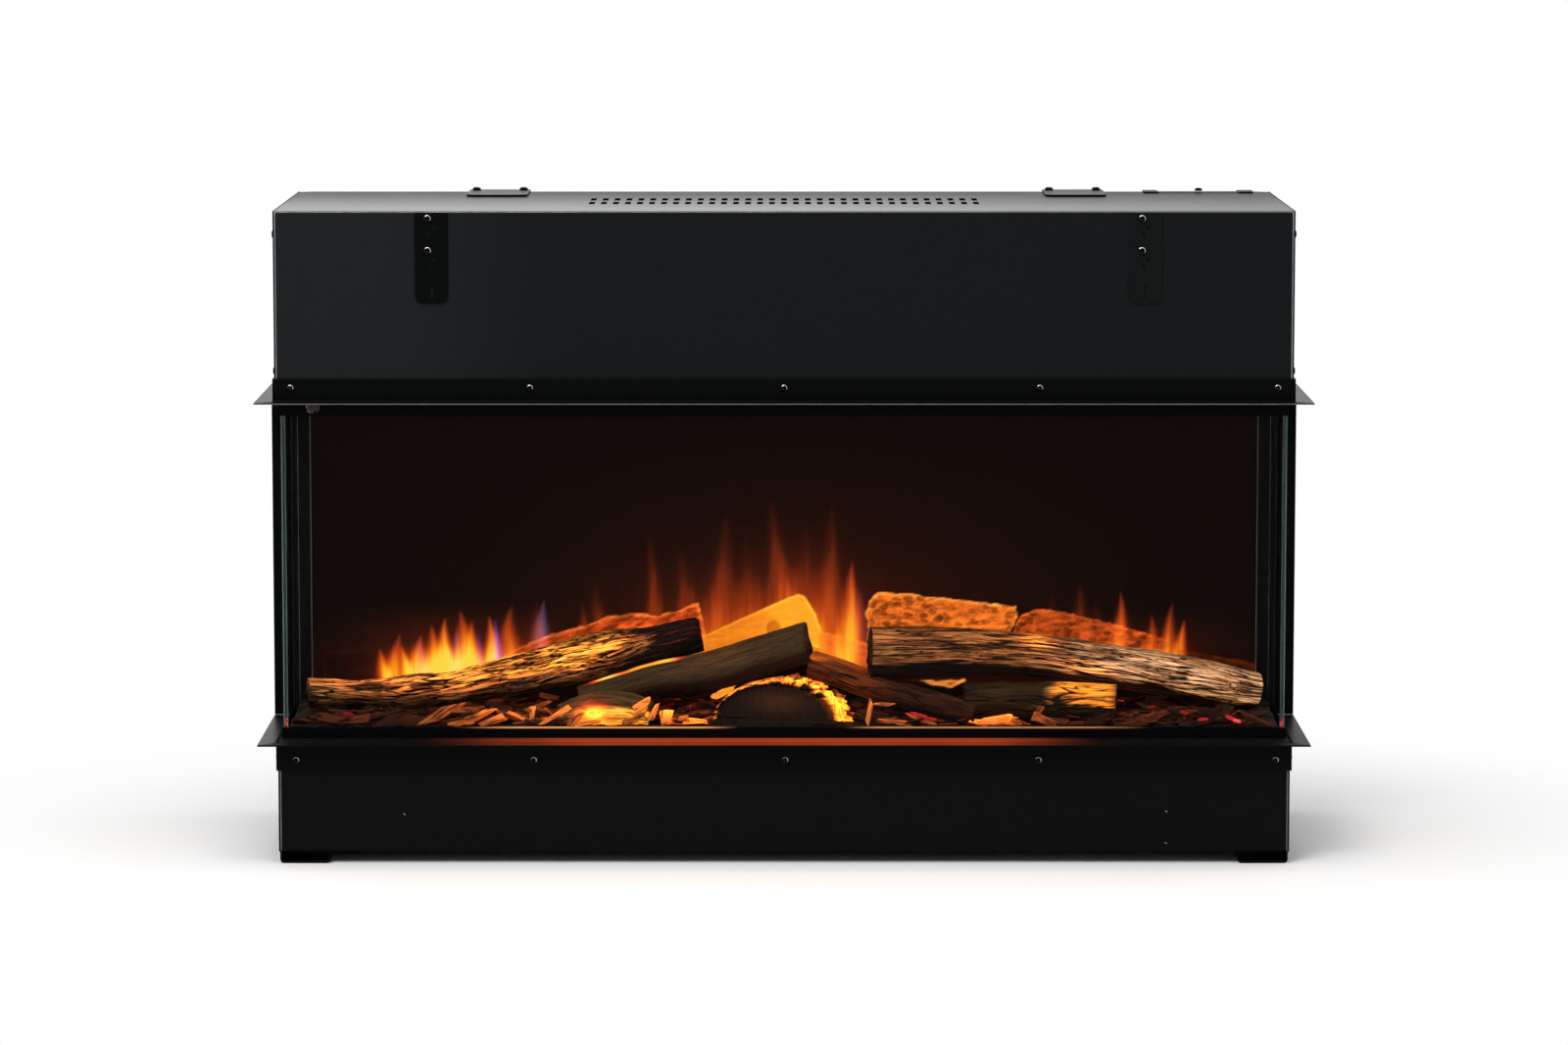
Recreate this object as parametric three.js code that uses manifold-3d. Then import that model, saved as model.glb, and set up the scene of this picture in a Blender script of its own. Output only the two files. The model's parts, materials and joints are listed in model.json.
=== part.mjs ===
// Three-sided inset electric fire: a sheet-steel casing with plaster flanges round a window
// on the front and both sides, three glass panes, a bed of bark and logs in front of a
// mirrored flame screen, and the flame works and fan heater behind and above it.
// Lengths are millimetres. +X is right, -Y is the front and +Z is up.
// The origin is on the floor, under the middle of the whole object.

import * as THREE from 'three';
import { mergeVertices } from 'three/addons/utils/BufferGeometryUtils.js';
import Module from 'manifold-3d';

const wasm = await Module();
wasm.setup();

// Fits shared by all pieces
const gap = 0.3;            // clearance between two pieces that touch
const overrun = 2;          // how far a cutter runs past what it cuts
const weldDistance = 0.0001;

// Casing
const sheet = 1.5;
const foldRadius = 1;       // inside radius of a fold
const caseWidth = 1035;
const caseDepth = 320;
const runnerHeight = 11.7;
const plinthHeight = 113.2;
const windowHeight = 348.7;
const hoodHeight = 194.7;
const worksDepth = 132;     // from the jambs to the rear edges: screens, spindle and lamps
const backRecess = 6;       // the back panel sits this far inside the rear edges
const cornerCut = 12;       // chamfer at the rear corners of the top, along X
const cornerCutBack = 7;    // the same chamfer along Y

// Plaster flanges
const flangeReach = 19.5;
const trimSheet = 1.5;
const upperLeg = 24.5;
const lowerLeg = 29;
const jambLeg = 25;

// Base runners
const runnerWidth = 51.5;
const runnerInset = 1.2;
const runnerSheet = 2;
const runnerFold = 1.5;

// Vents: two rows of slots in the top, a row at each side of the back, the warm-air outlet
const ventWidth = 6;
const ventLength = 38;
const ventPitch = 12.4;
const ventColumns = 33;
const ventRows = 2;
const ventDepth = 158.5;    // from the casing front to the middle of the two rows
const ventRowPitch = 59;
const backVentHeight = 62;
const backVentCentre = 300;
const backVentColumns = 11;
const outletColumns = 14;
const outletMargin = 10;    // outlet slots stop this far inside the ends of the blower
const outletWidth = 14;
const outletLength = 15;

// Glass and the folded channels that hold it
const glassThickness = 4;
const glassDepth = 31;      // from the casing front to the outer face of the front pane
const channelSheet = 1.2;
const slotPlay = 0.7;
const glassSeat = 1.1;      // from the lower flange up to the glass edge
const lipRise = 10.6;       // lower channel lip above the lower flange
const lipDrop = 16.2;       // upper channel lip below the upper flange
const channelRise = 12.4;   // upper channel roof above the upper flange
const glassEngage = 14;     // glass edge above the upper channel lip
const panDrop = 12;         // pan floor below the channel floor

// Front straps and top brackets, which tie the casing to a wall frame
const strapWidth = 33.5;
const strapHeight = 92;
const strapSheet = 1.5;
const strapRadius = 8;
const strapDrop = 1.6;      // below the top of the casing
const strapLeftInset = 160.5;  // strap middle, in from the casing side
const strapRightInset = 151.5;
const strapHole = 2.2;
const strapSlotWidth = 3;
const strapSlotHeight = 13;
const strapSlotShare = 0.13; // height of the slot's middle on the strap
const strapHoleShares = [   // across from the middle and up from the lower edge
  [-0.12, 0.93], [-0.12, 0.58], [0.09, 0.84], [-0.07, 0.76], [0.07, 0.49], [-0.07, 0.41],
];
const bracketWidth = 64;
const bracketLength = 89;
const bracketSheet = 2;
const bracketRadius = 8;
const bracketHole = 2.4;
const bracketScrewSpread = 50;
const bracketScrewInset = 14;
const bracketLeftInset = 215.5; // bracket middle, in from the casing side
const bracketRightInset = 210.5;

// Mains terminal compartment at the top rear right
const terminalInset = 77.5; // middle of the terminals, in from the casing side
const notchWidth = 87;
const notchDepth = 30;
const coverWidth = 116;
const coverDepth = 29;
const terminalBoxWidth = 104;
const terminalBoxDepth = 62;
const terminalBoxHeight = 44;
const terminalBoxSheet = 1.2;
const blockWidth = 52;
const blockDepth = 20;
const blockHeight = 15;
const blockPole = 6;
const blockPoles = 5;
const glandBore = 4.5;
const glandBody = 7.5;
const glandFlange = 11;
const glandNut = 5;
const glandNutInner = 3;
const glandDrop = 24;       // below the top of the terminal box

// Remote control receiver under the hood's front return
const receiverRadius = 9;
const receiverHeight = 13;
const receiverStem = 3.5;
const receiverStemRise = 6;
const receiverInset = 39;   // in from the casing side
const receiverDepth = 15;   // back from the casing front

// Flame screens and their posts, behind the logs
const postLeaf = 19;
const postDepth = 31;
const postReturn = 15;
const postRise = 30;        // above the upper flange
const mirrorThickness = 4;
const diffuserThickness = 3;
const screenOverlap = 6;    // screens run past the flanges above and below

// Flame mask
const maskSheet = 1.2;
const maskBottom = 92;
const maskHeight = 240;
const maskInset = 11;       // in from the casing sides
const flameCount = 15;
const flameMargin = 105;    // flames stop this far inside the casing sides
const flameWidth = 26;
const flameBase = 128;
const flameTall = 150;
const flameShort = 62;
const flameBeat = 2.4;      // radians of ripple in the heights from one flame to the next
const flameCalmShare = 0.6; // part of a flame's height that doesn't ripple
const flameShares = [       // outline of a flame, across and up
  [-0.5, 0.06], [-0.42, 0.3], [-0.2, 0.58], [-0.08, 1], [0.12, 0.62], [0.4, 0.34],
  [0.5, 0.08], [0, 0],
];

// Flicker spindle, its motor and bush bracket
const spindleBack = 56;     // spindle axis, in from the rear edges
const spindleHeight = 98;
const spindleInset = 65.5;  // from the casing side to the outer face of each bracket
const rodRadius = 4;
const petalReach = 17;
const petalLength = 28;
const petalSheet = 0.8;
const petalMargin = 62;     // middle of the end rings, in from the brackets
const petalRings = 11;
const petalsPerRing = 4;
const petalTilt = 0.24;
const petalStep = 0.5;
const bracketPlate = 2;
const bracketPlateWidth = 56;
const bracketPlateTop = 26; // above the spindle axis
const bracketFoot = 24;
const motorRadius = 24;
const motorLength = 24;
const motorBoss = 8;
const motorBossLength = 6;
const shaftEngage = 5;      // rod inside the motor boss

// Lamp boards
const boardThickness = 1.6;
const flameBoardWidth = 18;
const flameBoardHeight = 96;
const emberBoardWidth = 16;
const emberDepthShare = 0.368; // middle of the board, of the bed's depth
const boardInset = 52;      // in from the casing sides
const lampCount = 12;
const lampSize = 5;
const lampRise = 2.4;
const connectorLength = 14;
const connectorRise = 6;

// Fan heater: a cross-flow blower over a finned element in a duct
const ductFront = 4;        // from the casing front
const ductDepth = 23.4;
const ductSheet = 1.2;
const blowerLength = 300;
const blowerDepth = 46;
const blowerRise = 89.4;    // axis above the upper flange
const impellerRadius = 25;
const impellerPlay = 3.5;
const scrollGrowth = 7;     // how much the scroll opens up on the way to the duct
const scrollStartTurn = 0.35; // radians above the axis where the scroll starts
const scrollEndTurn = -1.67;  // radians where the scroll runs into the duct
const lipTurn = 0.5;          // radians above the axis where the front lip ends
const bladeCount = 16;
const bladeDepth = 8;
const bladeSheet = 1;
const bladeSweep = 0.24;    // radians from a blade's outer edge to its inner edge
const bladeCurl = 0.12;     // radians that its middle bows out
const impellerDisc = 1.6;
const impellerDiscs = 3;
const shaftRadius = 3;
const blowerMotorRadius = 27;
const blowerMotorLength = 42;
const blowerShaftEngage = 14;
const endPlateMargin = 7;
const elementRise = 16;     // above the duct mouth
const elementHeight = 22;
const finCount = 24;
const finMargin = 6;        // fins stop this far inside the ends of the element
const finSlot = 9;
const rimShare = 0.17;      // front and back rims of the element, of its depth
const cutoutRadius = 7;
const cutoutLength = 9;
const cutoutX = 70;
const tabThickness = 1.5;
const tabHeight = 2.8;
const tabLength = 7;

// Control board on the chamber roof
const controlX = -270;
const controlShare = 0.628; // middle of the board, of the window's depth
const controlWidth = 150;
const controlLengthShare = 0.447; // of the window's depth
const controlStand = 8;
const relayWidth = 16;
const relayLength = 20;
const relayHeight = 15;
const relayPitch = 24;
const relayCount = 4;
const capacitorRadius = 6.5;
const capacitorHeight = 20;
const capacitorCount = 2;
const pillarRadius = 3;

// Bed of bark and the logs
const bedRise = 12;         // mean bed surface above the lower flange
const bedSwell = 6;         // extra height towards the back
const bedLump = 2.6;
const bedWaveShort = 17;
const bedWaveLong = 29;
const bedWaves = [          // length along X, radians of slant from front to back, start
  { length: bedWaveShort, slant: 5, start: 0 },
  { length: bedWaveLong, slant: -9, start: 1 },
];
const bedColumns = 34;
const bedRows = 5;
const grooveMargin = 3;
const chipCount = 38;
const chipLength = 30;
const chipWidth = 11;
const chipThickness = 4.2;
const chipRise = 1.7;       // middle of a chip above the bed
const chipShortShare = 0.6; // shortest chip, of the usual length
const chipLongShare = 1.2;  // longest chip, of the usual length
const chipRoll = 0.9;       // radians a chip may lean, from one extreme to the other
const chipPitchTurn = 0.7;  // the same along its length
const chipStray = 9;        // how far along X a chip may stray from its even place
const chanceStep = 12.9898; // radians between the sines that places are drawn from
const chipRowShares = [0.13, 0.23]; // depth of the two rows of chips on the bed
const chipStrayShare = 0.06;
const chipShares = [        // outline of a chip
  [-0.5, -0.35], [0.1, -0.5], [0.5, -0.1], [0.42, 0.4], [-0.3, 0.5],
];
const logGirth = 45;
const pileHeight = 100;     // the logs' heights are shares of this, above the lower flange
const logSides = 14;
const barkShare = 0.055;    // height of the bark's ripples, of the log's radius
const barkRipples = [       // lobes round the log, share of the height, drift along the log
  { lobes: 3, share: 1, seeds: 1, drift: 0.7 },
  { lobes: 5, share: 0.7, seeds: 2, drift: -0.9 },
];
const halfLogWidth = 137;
const halfLogHeight = 46;
const halfLogLength = 42;
const halfLogX = -8;
const halfLogDepthShare = 0.148; // its front face, of the bed's depth
const halfLogTurn = -0.2;
const halfLogTilt = 0.1;
const halfLogSteps = 18;
const halfLogFullness = 0.85; // power that fills out the shoulders of the arch
const halfLogRipples = [    // lobes round the arch, share of the bark's height, start
  { lobes: 7, share: 1, start: 0 },
  { lobes: 13, share: 0.6, start: 1 },
];

// Rounds are drawn with this many sides
const holeSides = 8;
const roundSides = 16;
const foldSteps = 2;
const cornerSteps = 3;
const domeSteps = 5;
const scrollSteps = 8;

// Places worked out from the sizes above
const halfWidth = caseWidth / 2;
const frontY = flangeReach - (caseDepth + flangeReach) / 2;
const rearY = frontY + caseDepth;
const plinthTop = runnerHeight + plinthHeight;
const windowTop = plinthTop + windowHeight;
const caseTop = windowTop + hoodHeight;
const floorTop = runnerHeight + sheet;
const terminalX = halfWidth - terminalInset;
const windowDepth = caseDepth - worksDepth;
const spindleDepth = caseDepth - spindleBack;
const spindleReach = halfWidth - spindleInset; // from the middle to each bracket's outer face
const petalPitch = 2 * (spindleReach - petalMargin) / (petalRings - 1);
const flamePitch = 2 * (halfWidth - flameMargin) / flameCount;
const blowerHeight = windowTop + blowerRise;
const finPitch = (blowerLength - 2 * finMargin) / finCount;
const outletPitch = (blowerLength - 2 * outletMargin) / outletColumns;
const insideHalf = halfWidth - sheet - gap;
const backInner = rearY - backRecess - sheet;
const glassHalf = insideHalf - channelSheet - slotPlay;
const chamberHalf = glassHalf - glassThickness - slotPlay - channelSheet;
const lipFront = glassDepth - slotPlay - channelSheet;
const chamberFront = glassDepth + glassThickness + slotPlay + channelSheet;
const chamberRear = windowDepth - gap;
const controlDepth = controlShare * windowDepth;
const controlLength = controlLengthShare * windowDepth;
const bedDepth = chamberRear - channelSheet - chamberFront;
const halfLogDepth = chamberFront + halfLogDepthShare * bedDepth;
const emberBoardDepth = chamberFront + emberDepthShare * bedDepth;
const shelfDepth = lipFront - gap;
const glassBottom = plinthTop + glassSeat;
const glassTop = windowTop - lipDrop + glassEngage;
const channelFloor = glassBottom - gap;
const panFloor = channelFloor - panDrop;
const roofFloor = windowTop - lipDrop + channelSheet;

// A place this far behind the casing front
const deep = (distance) => frontY + distance;

const finishes = {
  casing: { color: 0x202123, roughness: 0.55, metalness: 0.4 },
  plinth: { color: 0x151514, roughness: 0.55, metalness: 0.4 },
  trim: { color: 0x0f1110, roughness: 0.5, metalness: 0.4 },
  bracket: { color: 0x141715, roughness: 0.45, metalness: 0.5 },
  zinc: { color: 0x8d9092, roughness: 0.4, metalness: 0.9 },
  glass: { color: 0xbfd2cc, roughness: 0.03, metalness: 0, transparent: true, opacity: 0.25 },
  mirror: { color: 0x140d09, roughness: 0.08, metalness: 0.3 },
  diffuser: { color: 0xd9d6cf, roughness: 0.6, metalness: 0 },
  mask: { color: 0xb9bcbe, roughness: 0.35, metalness: 0.8 },
  bark: { color: 0x6b4a2c, roughness: 0.9, metalness: 0 },
  darkLog: { color: 0x2c2219, roughness: 0.9, metalness: 0 },
  chips: { color: 0x8a4a1e, roughness: 0.85, metalness: 0 },
  board: { color: 0x2f6b3a, roughness: 0.6, metalness: 0 },
  motor: { color: 0x3a3c3f, roughness: 0.5, metalness: 0.6 },
  plastic: { color: 0x1b1b1d, roughness: 0.5, metalness: 0 },
  lens: { color: 0x2c1720, roughness: 0.15, metalness: 0 },
  silver: { color: 0xd5d8da, roughness: 0.2, metalness: 1 },
};

const materials = Object.fromEntries(
  Object.entries(finishes).map(([name, values]) => [name, new THREE.MeshStandardMaterial(values)]),
);

const group = new THREE.Group();
const casing = new THREE.Group();
const firebox = new THREE.Group();
const flameWorks = new THREE.Group();
const heater = new THREE.Group();
group.add(casing, firebox, flameWorks, heater);

// Solids, joined and cut

function solid(geometry) {
  const bare = geometry.clone();
  bare.deleteAttribute('normal');
  bare.deleteAttribute('uv');
  const welded = mergeVertices(bare, weldDistance);
  return new wasm.Manifold(new wasm.Mesh({
    numProp: 3,
    vertProperties: new Float32Array(welded.attributes.position.array),
    triVerts: new Uint32Array(welded.index.array),
  }));
}

function surface(body) {
  const mesh = body.getMesh();
  const geometry = new THREE.BufferGeometry();
  geometry.setAttribute('position', new THREE.BufferAttribute(mesh.vertProperties, 3));
  geometry.setIndex(new THREE.BufferAttribute(mesh.triVerts, 1));
  geometry.computeVertexNormals();
  return geometry;
}

function joined(bodies) {
  return bodies.reduce((whole, body) => whole.add(body));
}

function cutBy(body, cutters) {
  return cutters.reduce((rest, cutter) => rest.subtract(cutter), body);
}

function place(parent, name, shape, finish, position = [0, 0, 0]) {
  const geometry = shape.isBufferGeometry ? shape : surface(shape);
  const mesh = new THREE.Mesh(geometry, materials[finish]);
  mesh.name = name;
  mesh.position.set(...position);
  parent.add(mesh);
  return mesh;
}

// A block between two corners, which may be given in any order
function block(a, b) {
  const size = a.map((value, i) => Math.abs(b[i] - value));
  const middle = a.map((value, i) => (b[i] + value) / 2);
  return solid(new THREE.BoxGeometry(...size).translate(...middle));
}

// Extrusions of an outline: across draws it in Y and Z and runs along X, lengthways draws
// it in X and Z and runs along Y, upright draws it in X and Y and runs along Z
const turns = {
  across: new THREE.Matrix4().makeBasis(
    new THREE.Vector3(0, 1, 0), new THREE.Vector3(0, 0, 1), new THREE.Vector3(1, 0, 0)),
  lengthways: new THREE.Matrix4().makeBasis(
    new THREE.Vector3(-1, 0, 0), new THREE.Vector3(0, 0, 1), new THREE.Vector3(0, 1, 0)),
  upright: new THREE.Matrix4(),
};

function extruded(direction, outline, from, to) {
  const flip = direction === 'lengthways' ? -1 : 1;
  const shape = new THREE.Shape(outline.map(([u, v]) => new THREE.Vector2(flip * u, v)));
  const geometry = new THREE.ExtrudeGeometry(shape, {
    depth: to - from, bevelEnabled: false, steps: 1,
  });
  geometry.translate(0, 0, from);
  return solid(geometry.applyMatrix4(turns[direction]));
}

// Points of a circle or of a part of one, with the flats outside the radius where asked
function arc(u, v, radius, start, end, steps) {
  return Array.from({ length: steps + 1 }, (_, i) => {
    const angle = start + (end - start) * i / steps;
    return [u + radius * Math.cos(angle), v + radius * Math.sin(angle)];
  });
}

function circle(u, v, radius, sides = holeSides) {
  return arc(u, v, radius, 0, 2 * Math.PI, sides).slice(0, -1);
}

// The radius of a many-sided hole that clears a round piece of the given radius
const clearing = (radius, sides) => (radius + gap) / Math.cos(Math.PI / sides);

function roundedPlate(width, height, lowerRadius, upperRadius = 0) {
  const corners = [
    [-width / 2, 0, lowerRadius, Math.PI], [width / 2, 0, lowerRadius, 1.5 * Math.PI],
    [width / 2, height, upperRadius, 0], [-width / 2, height, upperRadius, 0.5 * Math.PI],
  ];
  return corners.flatMap(([u, v, radius, start]) => {
    if (radius === 0) return [[u, v]];
    const inU = u - Math.sign(u) * radius;
    const inV = v === 0 ? radius : v - radius;
    return arc(inU, inV, radius, start, start + Math.PI / 2, cornerSteps);
  });
}

// Outline of folded sheet: a path of corners, thickened to its left (or to its right when
// the thickness is negative), with each fold rounded
function folded(path, thickness, radius = foldRadius) {
  const side = Math.sign(thickness);
  const depth = Math.abs(thickness);
  const headings = path.slice(1).map((p, i) => Math.atan2(p[1] - path[i][1], p[0] - path[i][0]));
  const offset = (p, heading) => [
    p[0] - side * depth * Math.sin(heading), p[1] + side * depth * Math.cos(heading)];
  const last = path.length - 1;
  const near = [path[0]];
  const far = [offset(path[0], headings[0])];
  for (let i = 1; i < last; i += 1) {
    const turn = Math.atan2(
      Math.sin(headings[i] - headings[i - 1]), Math.cos(headings[i] - headings[i - 1]));
    const inward = Math.sign(turn) === side;
    const nearRadius = inward ? radius + depth : radius;
    const reach = nearRadius * Math.tan(Math.abs(turn) / 2);
    const start = [
      path[i][0] - reach * Math.cos(headings[i - 1]), path[i][1] - reach * Math.sin(headings[i - 1])];
    const centre = [
      start[0] - Math.sign(turn) * nearRadius * Math.sin(headings[i - 1]),
      start[1] + Math.sign(turn) * nearRadius * Math.cos(headings[i - 1])];
    const farRadius = inward ? radius : radius + depth;
    for (let step = 0; step <= foldSteps; step += 1) {
      const heading = headings[i - 1] + turn * step / foldSteps;
      const out = [Math.sign(turn) * Math.sin(heading), -Math.sign(turn) * Math.cos(heading)];
      near.push([centre[0] + nearRadius * out[0], centre[1] + nearRadius * out[1]]);
      far.push([centre[0] + farRadius * out[0], centre[1] + farRadius * out[1]]);
    }
  }
  near.push(path[last]);
  far.push(offset(path[last], headings[last - 1]));
  return near.concat(far.reverse());
}

// A row of equal places, centred on zero
const spread = (count, pitch) => Array.from({ length: count }, (_, i) => (i - (count - 1) / 2) * pitch);

// Hood: the front and top of the casing in one folded sheet, with a return over the glass

function hood() {
  const section = folded([
    [rearY, caseTop], [frontY, caseTop], [frontY, windowTop], [deep(shelfDepth), windowTop],
  ], sheet);
  const body = extruded('across', section, -insideHalf, insideHalf);
  const vents = spread(ventColumns, ventPitch).flatMap((x) => (
    spread(ventRows, ventRowPitch).map((row) => block(
      [x - ventWidth / 2, deep(ventDepth) + row - ventLength / 2, caseTop - sheet - overrun],
      [x + ventWidth / 2, deep(ventDepth) + row + ventLength / 2, caseTop + overrun]))
  ));
  const outletMiddle = deep(ductFront + ductDepth / 2);
  const outlets = spread(outletColumns, outletPitch).map((x) => block(
    [x - outletWidth / 2, outletMiddle - outletLength / 2, windowTop - overrun],
    [x + outletWidth / 2, outletMiddle + outletLength / 2, windowTop + sheet + overrun]));
  const notch = block(
    [terminalX - notchWidth / 2, rearY - notchDepth, caseTop - sheet - overrun],
    [terminalX + notchWidth / 2, rearY + overrun, caseTop + overrun]);
  const receiverHole = extruded(
    'upright',
    circle(receiverInset - halfWidth, deep(receiverDepth), clearing(receiverStem, holeSides)),
    windowTop - overrun, windowTop + sheet + overrun);
  const corners = [-1, 1].map((side) => extruded('upright', [
    [side * (insideHalf - cornerCut), rearY + overrun],
    [side * (insideHalf + overrun), rearY + overrun],
    [side * (insideHalf + overrun), rearY - cornerCutBack],
    [side * insideHalf, rearY - cornerCutBack],
    [side * (insideHalf - cornerCut), rearY],
  ], caseTop - sheet - overrun, caseTop + overrun));
  return cutBy(body, [...vents, ...outlets, notch, receiverHole, ...corners]);
}

place(casing, 'hood', hood(), 'casing');

// Base pan: the plinth front, the floor and the narrow shelf in front of the glass

function basePan() {
  const section = folded([
    [deep(shelfDepth), plinthTop], [frontY, plinthTop], [frontY, runnerHeight],
    [rearY, runnerHeight],
  ], sheet);
  return extruded('across', section, -insideHalf, insideHalf);
}

place(casing, 'base_pan', basePan(), 'plinth');

// Sides: an upper and a lower panel, and a rear cheek behind each window

for (const [name, side] of [['left', -1], ['right', 1]]) {
  const inner = side * (halfWidth - sheet);
  const outer = side * halfWidth;
  place(casing, `upper_side_${name}`, block(
    [inner, frontY, windowTop], [outer, rearY, caseTop]), 'casing');
  place(casing, `lower_side_${name}`, block(
    [inner, frontY, runnerHeight], [outer, rearY, plinthTop]), 'plinth');
  place(casing, `rear_cheek_${name}`, block(
    [inner, deep(windowDepth), plinthTop + gap], [outer, rearY, windowTop - gap]), 'casing');
}

// Back panel, with air slots low at both sides and a hole for the cable gland

const glandHeight = caseTop - sheet - gap - glandDrop;

function backPanel() {
  const backOuter = backInner + sheet;
  const panel = block(
    [-insideHalf, backInner, floorTop + gap], [insideHalf, backOuter, caseTop - sheet - gap]);
  const slotLow = backVentHeight - ventLength / 2;
  const columns = spread(backVentColumns, ventPitch);
  const middles = [-1, 1].flatMap((side) => columns.map((x) => side * backVentCentre + x));
  const slots = middles.map((x) => block(
    [x - ventWidth / 2, backInner - overrun, slotLow],
    [x + ventWidth / 2, backOuter + overrun, slotLow + ventLength]));
  const glandHole = extruded(
    'lengthways', circle(terminalX, glandHeight, clearing(glandBody, roundSides), roundSides),
    backInner - overrun, backOuter + overrun);
  return cutBy(panel, [...slots, glandHole]);
}

place(casing, 'back_panel', backPanel(), 'casing');

// Base runners: channels that the casing stands on

function baseRunner() {
  const half = runnerWidth / 2;
  const section = folded([
    [half, runnerHeight - gap], [half, 0], [-half, 0], [-half, runnerHeight - gap],
  ], -runnerSheet, runnerFold);
  return extruded('lengthways', section, frontY, rearY);
}

for (const [name, side] of [['left', -1], ['right', 1]]) {
  const x = side * (halfWidth - runnerInset - runnerWidth / 2);
  place(casing, `base_runner_${name}`, baseRunner(), 'trim', [x, 0, 0]);
}

// Plaster flanges: an angle along each edge of the window, mitred at the corners.
// An angle is drawn by its distance out from the casing and its height.

function angleSection(level, leg) {
  const lift = Math.sign(leg);
  return folded([[flangeReach, level], [gap, level], [gap, level + leg]], -lift * trimSheet);
}

function frontTrim(level, leg) {
  const section = angleSection(level, leg).map(([out, up]) => [frontY - out, up]);
  const reach = halfWidth + flangeReach;
  const body = extruded('across', section, -reach - overrun, reach + overrun);
  const low = Math.min(level, level + leg) - overrun;
  const high = Math.max(level, level + leg) + overrun;
  const mitre = extruded('upright', [
    [-reach, frontY - flangeReach], [reach, frontY - flangeReach],
    [halfWidth, frontY], [-halfWidth, frontY],
  ], low, high);
  return body.intersect(mitre);
}

function sideTrim(side, level, leg) {
  const section = angleSection(level, leg).map(([out, up]) => [side * (halfWidth + out), up]);
  const end = deep(windowDepth) + trimSheet;
  const body = extruded('lengthways', section, frontY - flangeReach - overrun, end);
  const low = Math.min(level, level + leg) - overrun;
  const high = Math.max(level, level + leg) + overrun;
  const space = gap * Math.SQRT2;
  const mitre = extruded('upright', [
    [side * halfWidth, frontY + space],
    [side * (halfWidth + flangeReach), frontY - flangeReach + space],
    [side * (halfWidth + flangeReach), end + overrun],
    [side * halfWidth, end + overrun],
  ], low, high);
  return body.intersect(mitre);
}

for (const [level, where, leg] of [[windowTop, 'upper', upperLeg], [plinthTop, 'lower', -lowerLeg]]) {
  place(casing, `${where}_trim_front`, frontTrim(level, leg), 'trim');
  place(casing, `${where}_trim_left`, sideTrim(-1, level, leg), 'trim');
  place(casing, `${where}_trim_right`, sideTrim(1, level, leg), 'trim');
}

function jamb(side) {
  const y = deep(windowDepth);
  const section = folded([
    [side * (halfWidth + flangeReach), y], [side * (halfWidth + gap), y],
    [side * (halfWidth + gap), y + jambLeg],
  ], -side * trimSheet);
  return extruded('upright', section, plinthTop + gap, windowTop - gap);
}

place(casing, 'side_jamb_left', jamb(-1), 'trim');
place(casing, 'side_jamb_right', jamb(1), 'trim');

// Front straps: plates with rounded lower corners, spare holes and a slot

function strap() {
  const outline = roundedPlate(strapWidth, strapHeight, strapRadius);
  const plate = extruded('lengthways', outline, 0, strapSheet);
  const holes = strapHoleShares.map(([acrossShare, upShare]) => extruded(
    'lengthways', circle(acrossShare * strapWidth, upShare * strapHeight, strapHole),
    -overrun, strapSheet + overrun));
  const slotMiddle = strapSlotShare * strapHeight;
  const slot = block(
    [-strapSlotWidth / 2, -overrun, slotMiddle - strapSlotHeight / 2],
    [strapSlotWidth / 2, strapSheet + overrun, slotMiddle + strapSlotHeight / 2]);
  return cutBy(plate, [...holes, slot]);
}

const strapPlaces = [['left', strapLeftInset - halfWidth], ['right', halfWidth - strapRightInset]];
for (const [name, x] of strapPlaces) {
  place(casing, `front_strap_${name}`, strap(), 'bracket',
    [x, frontY - gap - strapSheet, caseTop - strapDrop - strapHeight]);
}

// Top brackets: plates at the rear edge of the top

function topBracket() {
  const outline = roundedPlate(bracketWidth, bracketLength, bracketRadius);
  const plate = extruded('upright', outline, 0, bracketSheet);
  const screwHoles = [-1, 1].map((side) => extruded(
    'upright',
    circle(side * bracketScrewSpread / 2, bracketLength - bracketScrewInset, bracketHole),
    -overrun, bracketSheet + overrun));
  const middleHole = extruded(
    'upright', circle(0, bracketLength / 2, bracketHole), -overrun, bracketSheet + overrun);
  return cutBy(plate, [...screwHoles, middleHole]);
}

const bracketPlaces = [
  ['left', bracketLeftInset - halfWidth], ['right', halfWidth - bracketRightInset],
];
for (const [name, x] of bracketPlaces) {
  place(casing, `top_bracket_${name}`, topBracket(), 'bracket',
    [x, rearY - bracketLength, caseTop + gap]);
}

// Terminal compartment: an open-topped box under a notch in the hood, with a joggled
// cover, a terminal strip on its floor and a cable gland through its back

const boxTop = caseTop - sheet - gap;
const boxRear = backInner - gap;
const boxBottom = boxTop - terminalBoxHeight;

function terminalBox() {
  const half = terminalBoxWidth / 2;
  const boxFront = boxRear - terminalBoxDepth;
  const wall = terminalBoxSheet;
  const outside = block(
    [terminalX - half, boxFront, boxBottom], [terminalX + half, boxRear, boxTop]);
  const inside = block(
    [terminalX - half + wall, boxFront + wall, boxBottom + wall],
    [terminalX + half - wall, boxRear - wall, boxTop + overrun]);
  const glandHole = extruded(
    'lengthways', circle(terminalX, glandHeight, clearing(glandBody, roundSides), roundSides),
    boxRear - wall - overrun, boxRear + overrun);
  return cutBy(outside, [inside, glandHole]);
}

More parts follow.
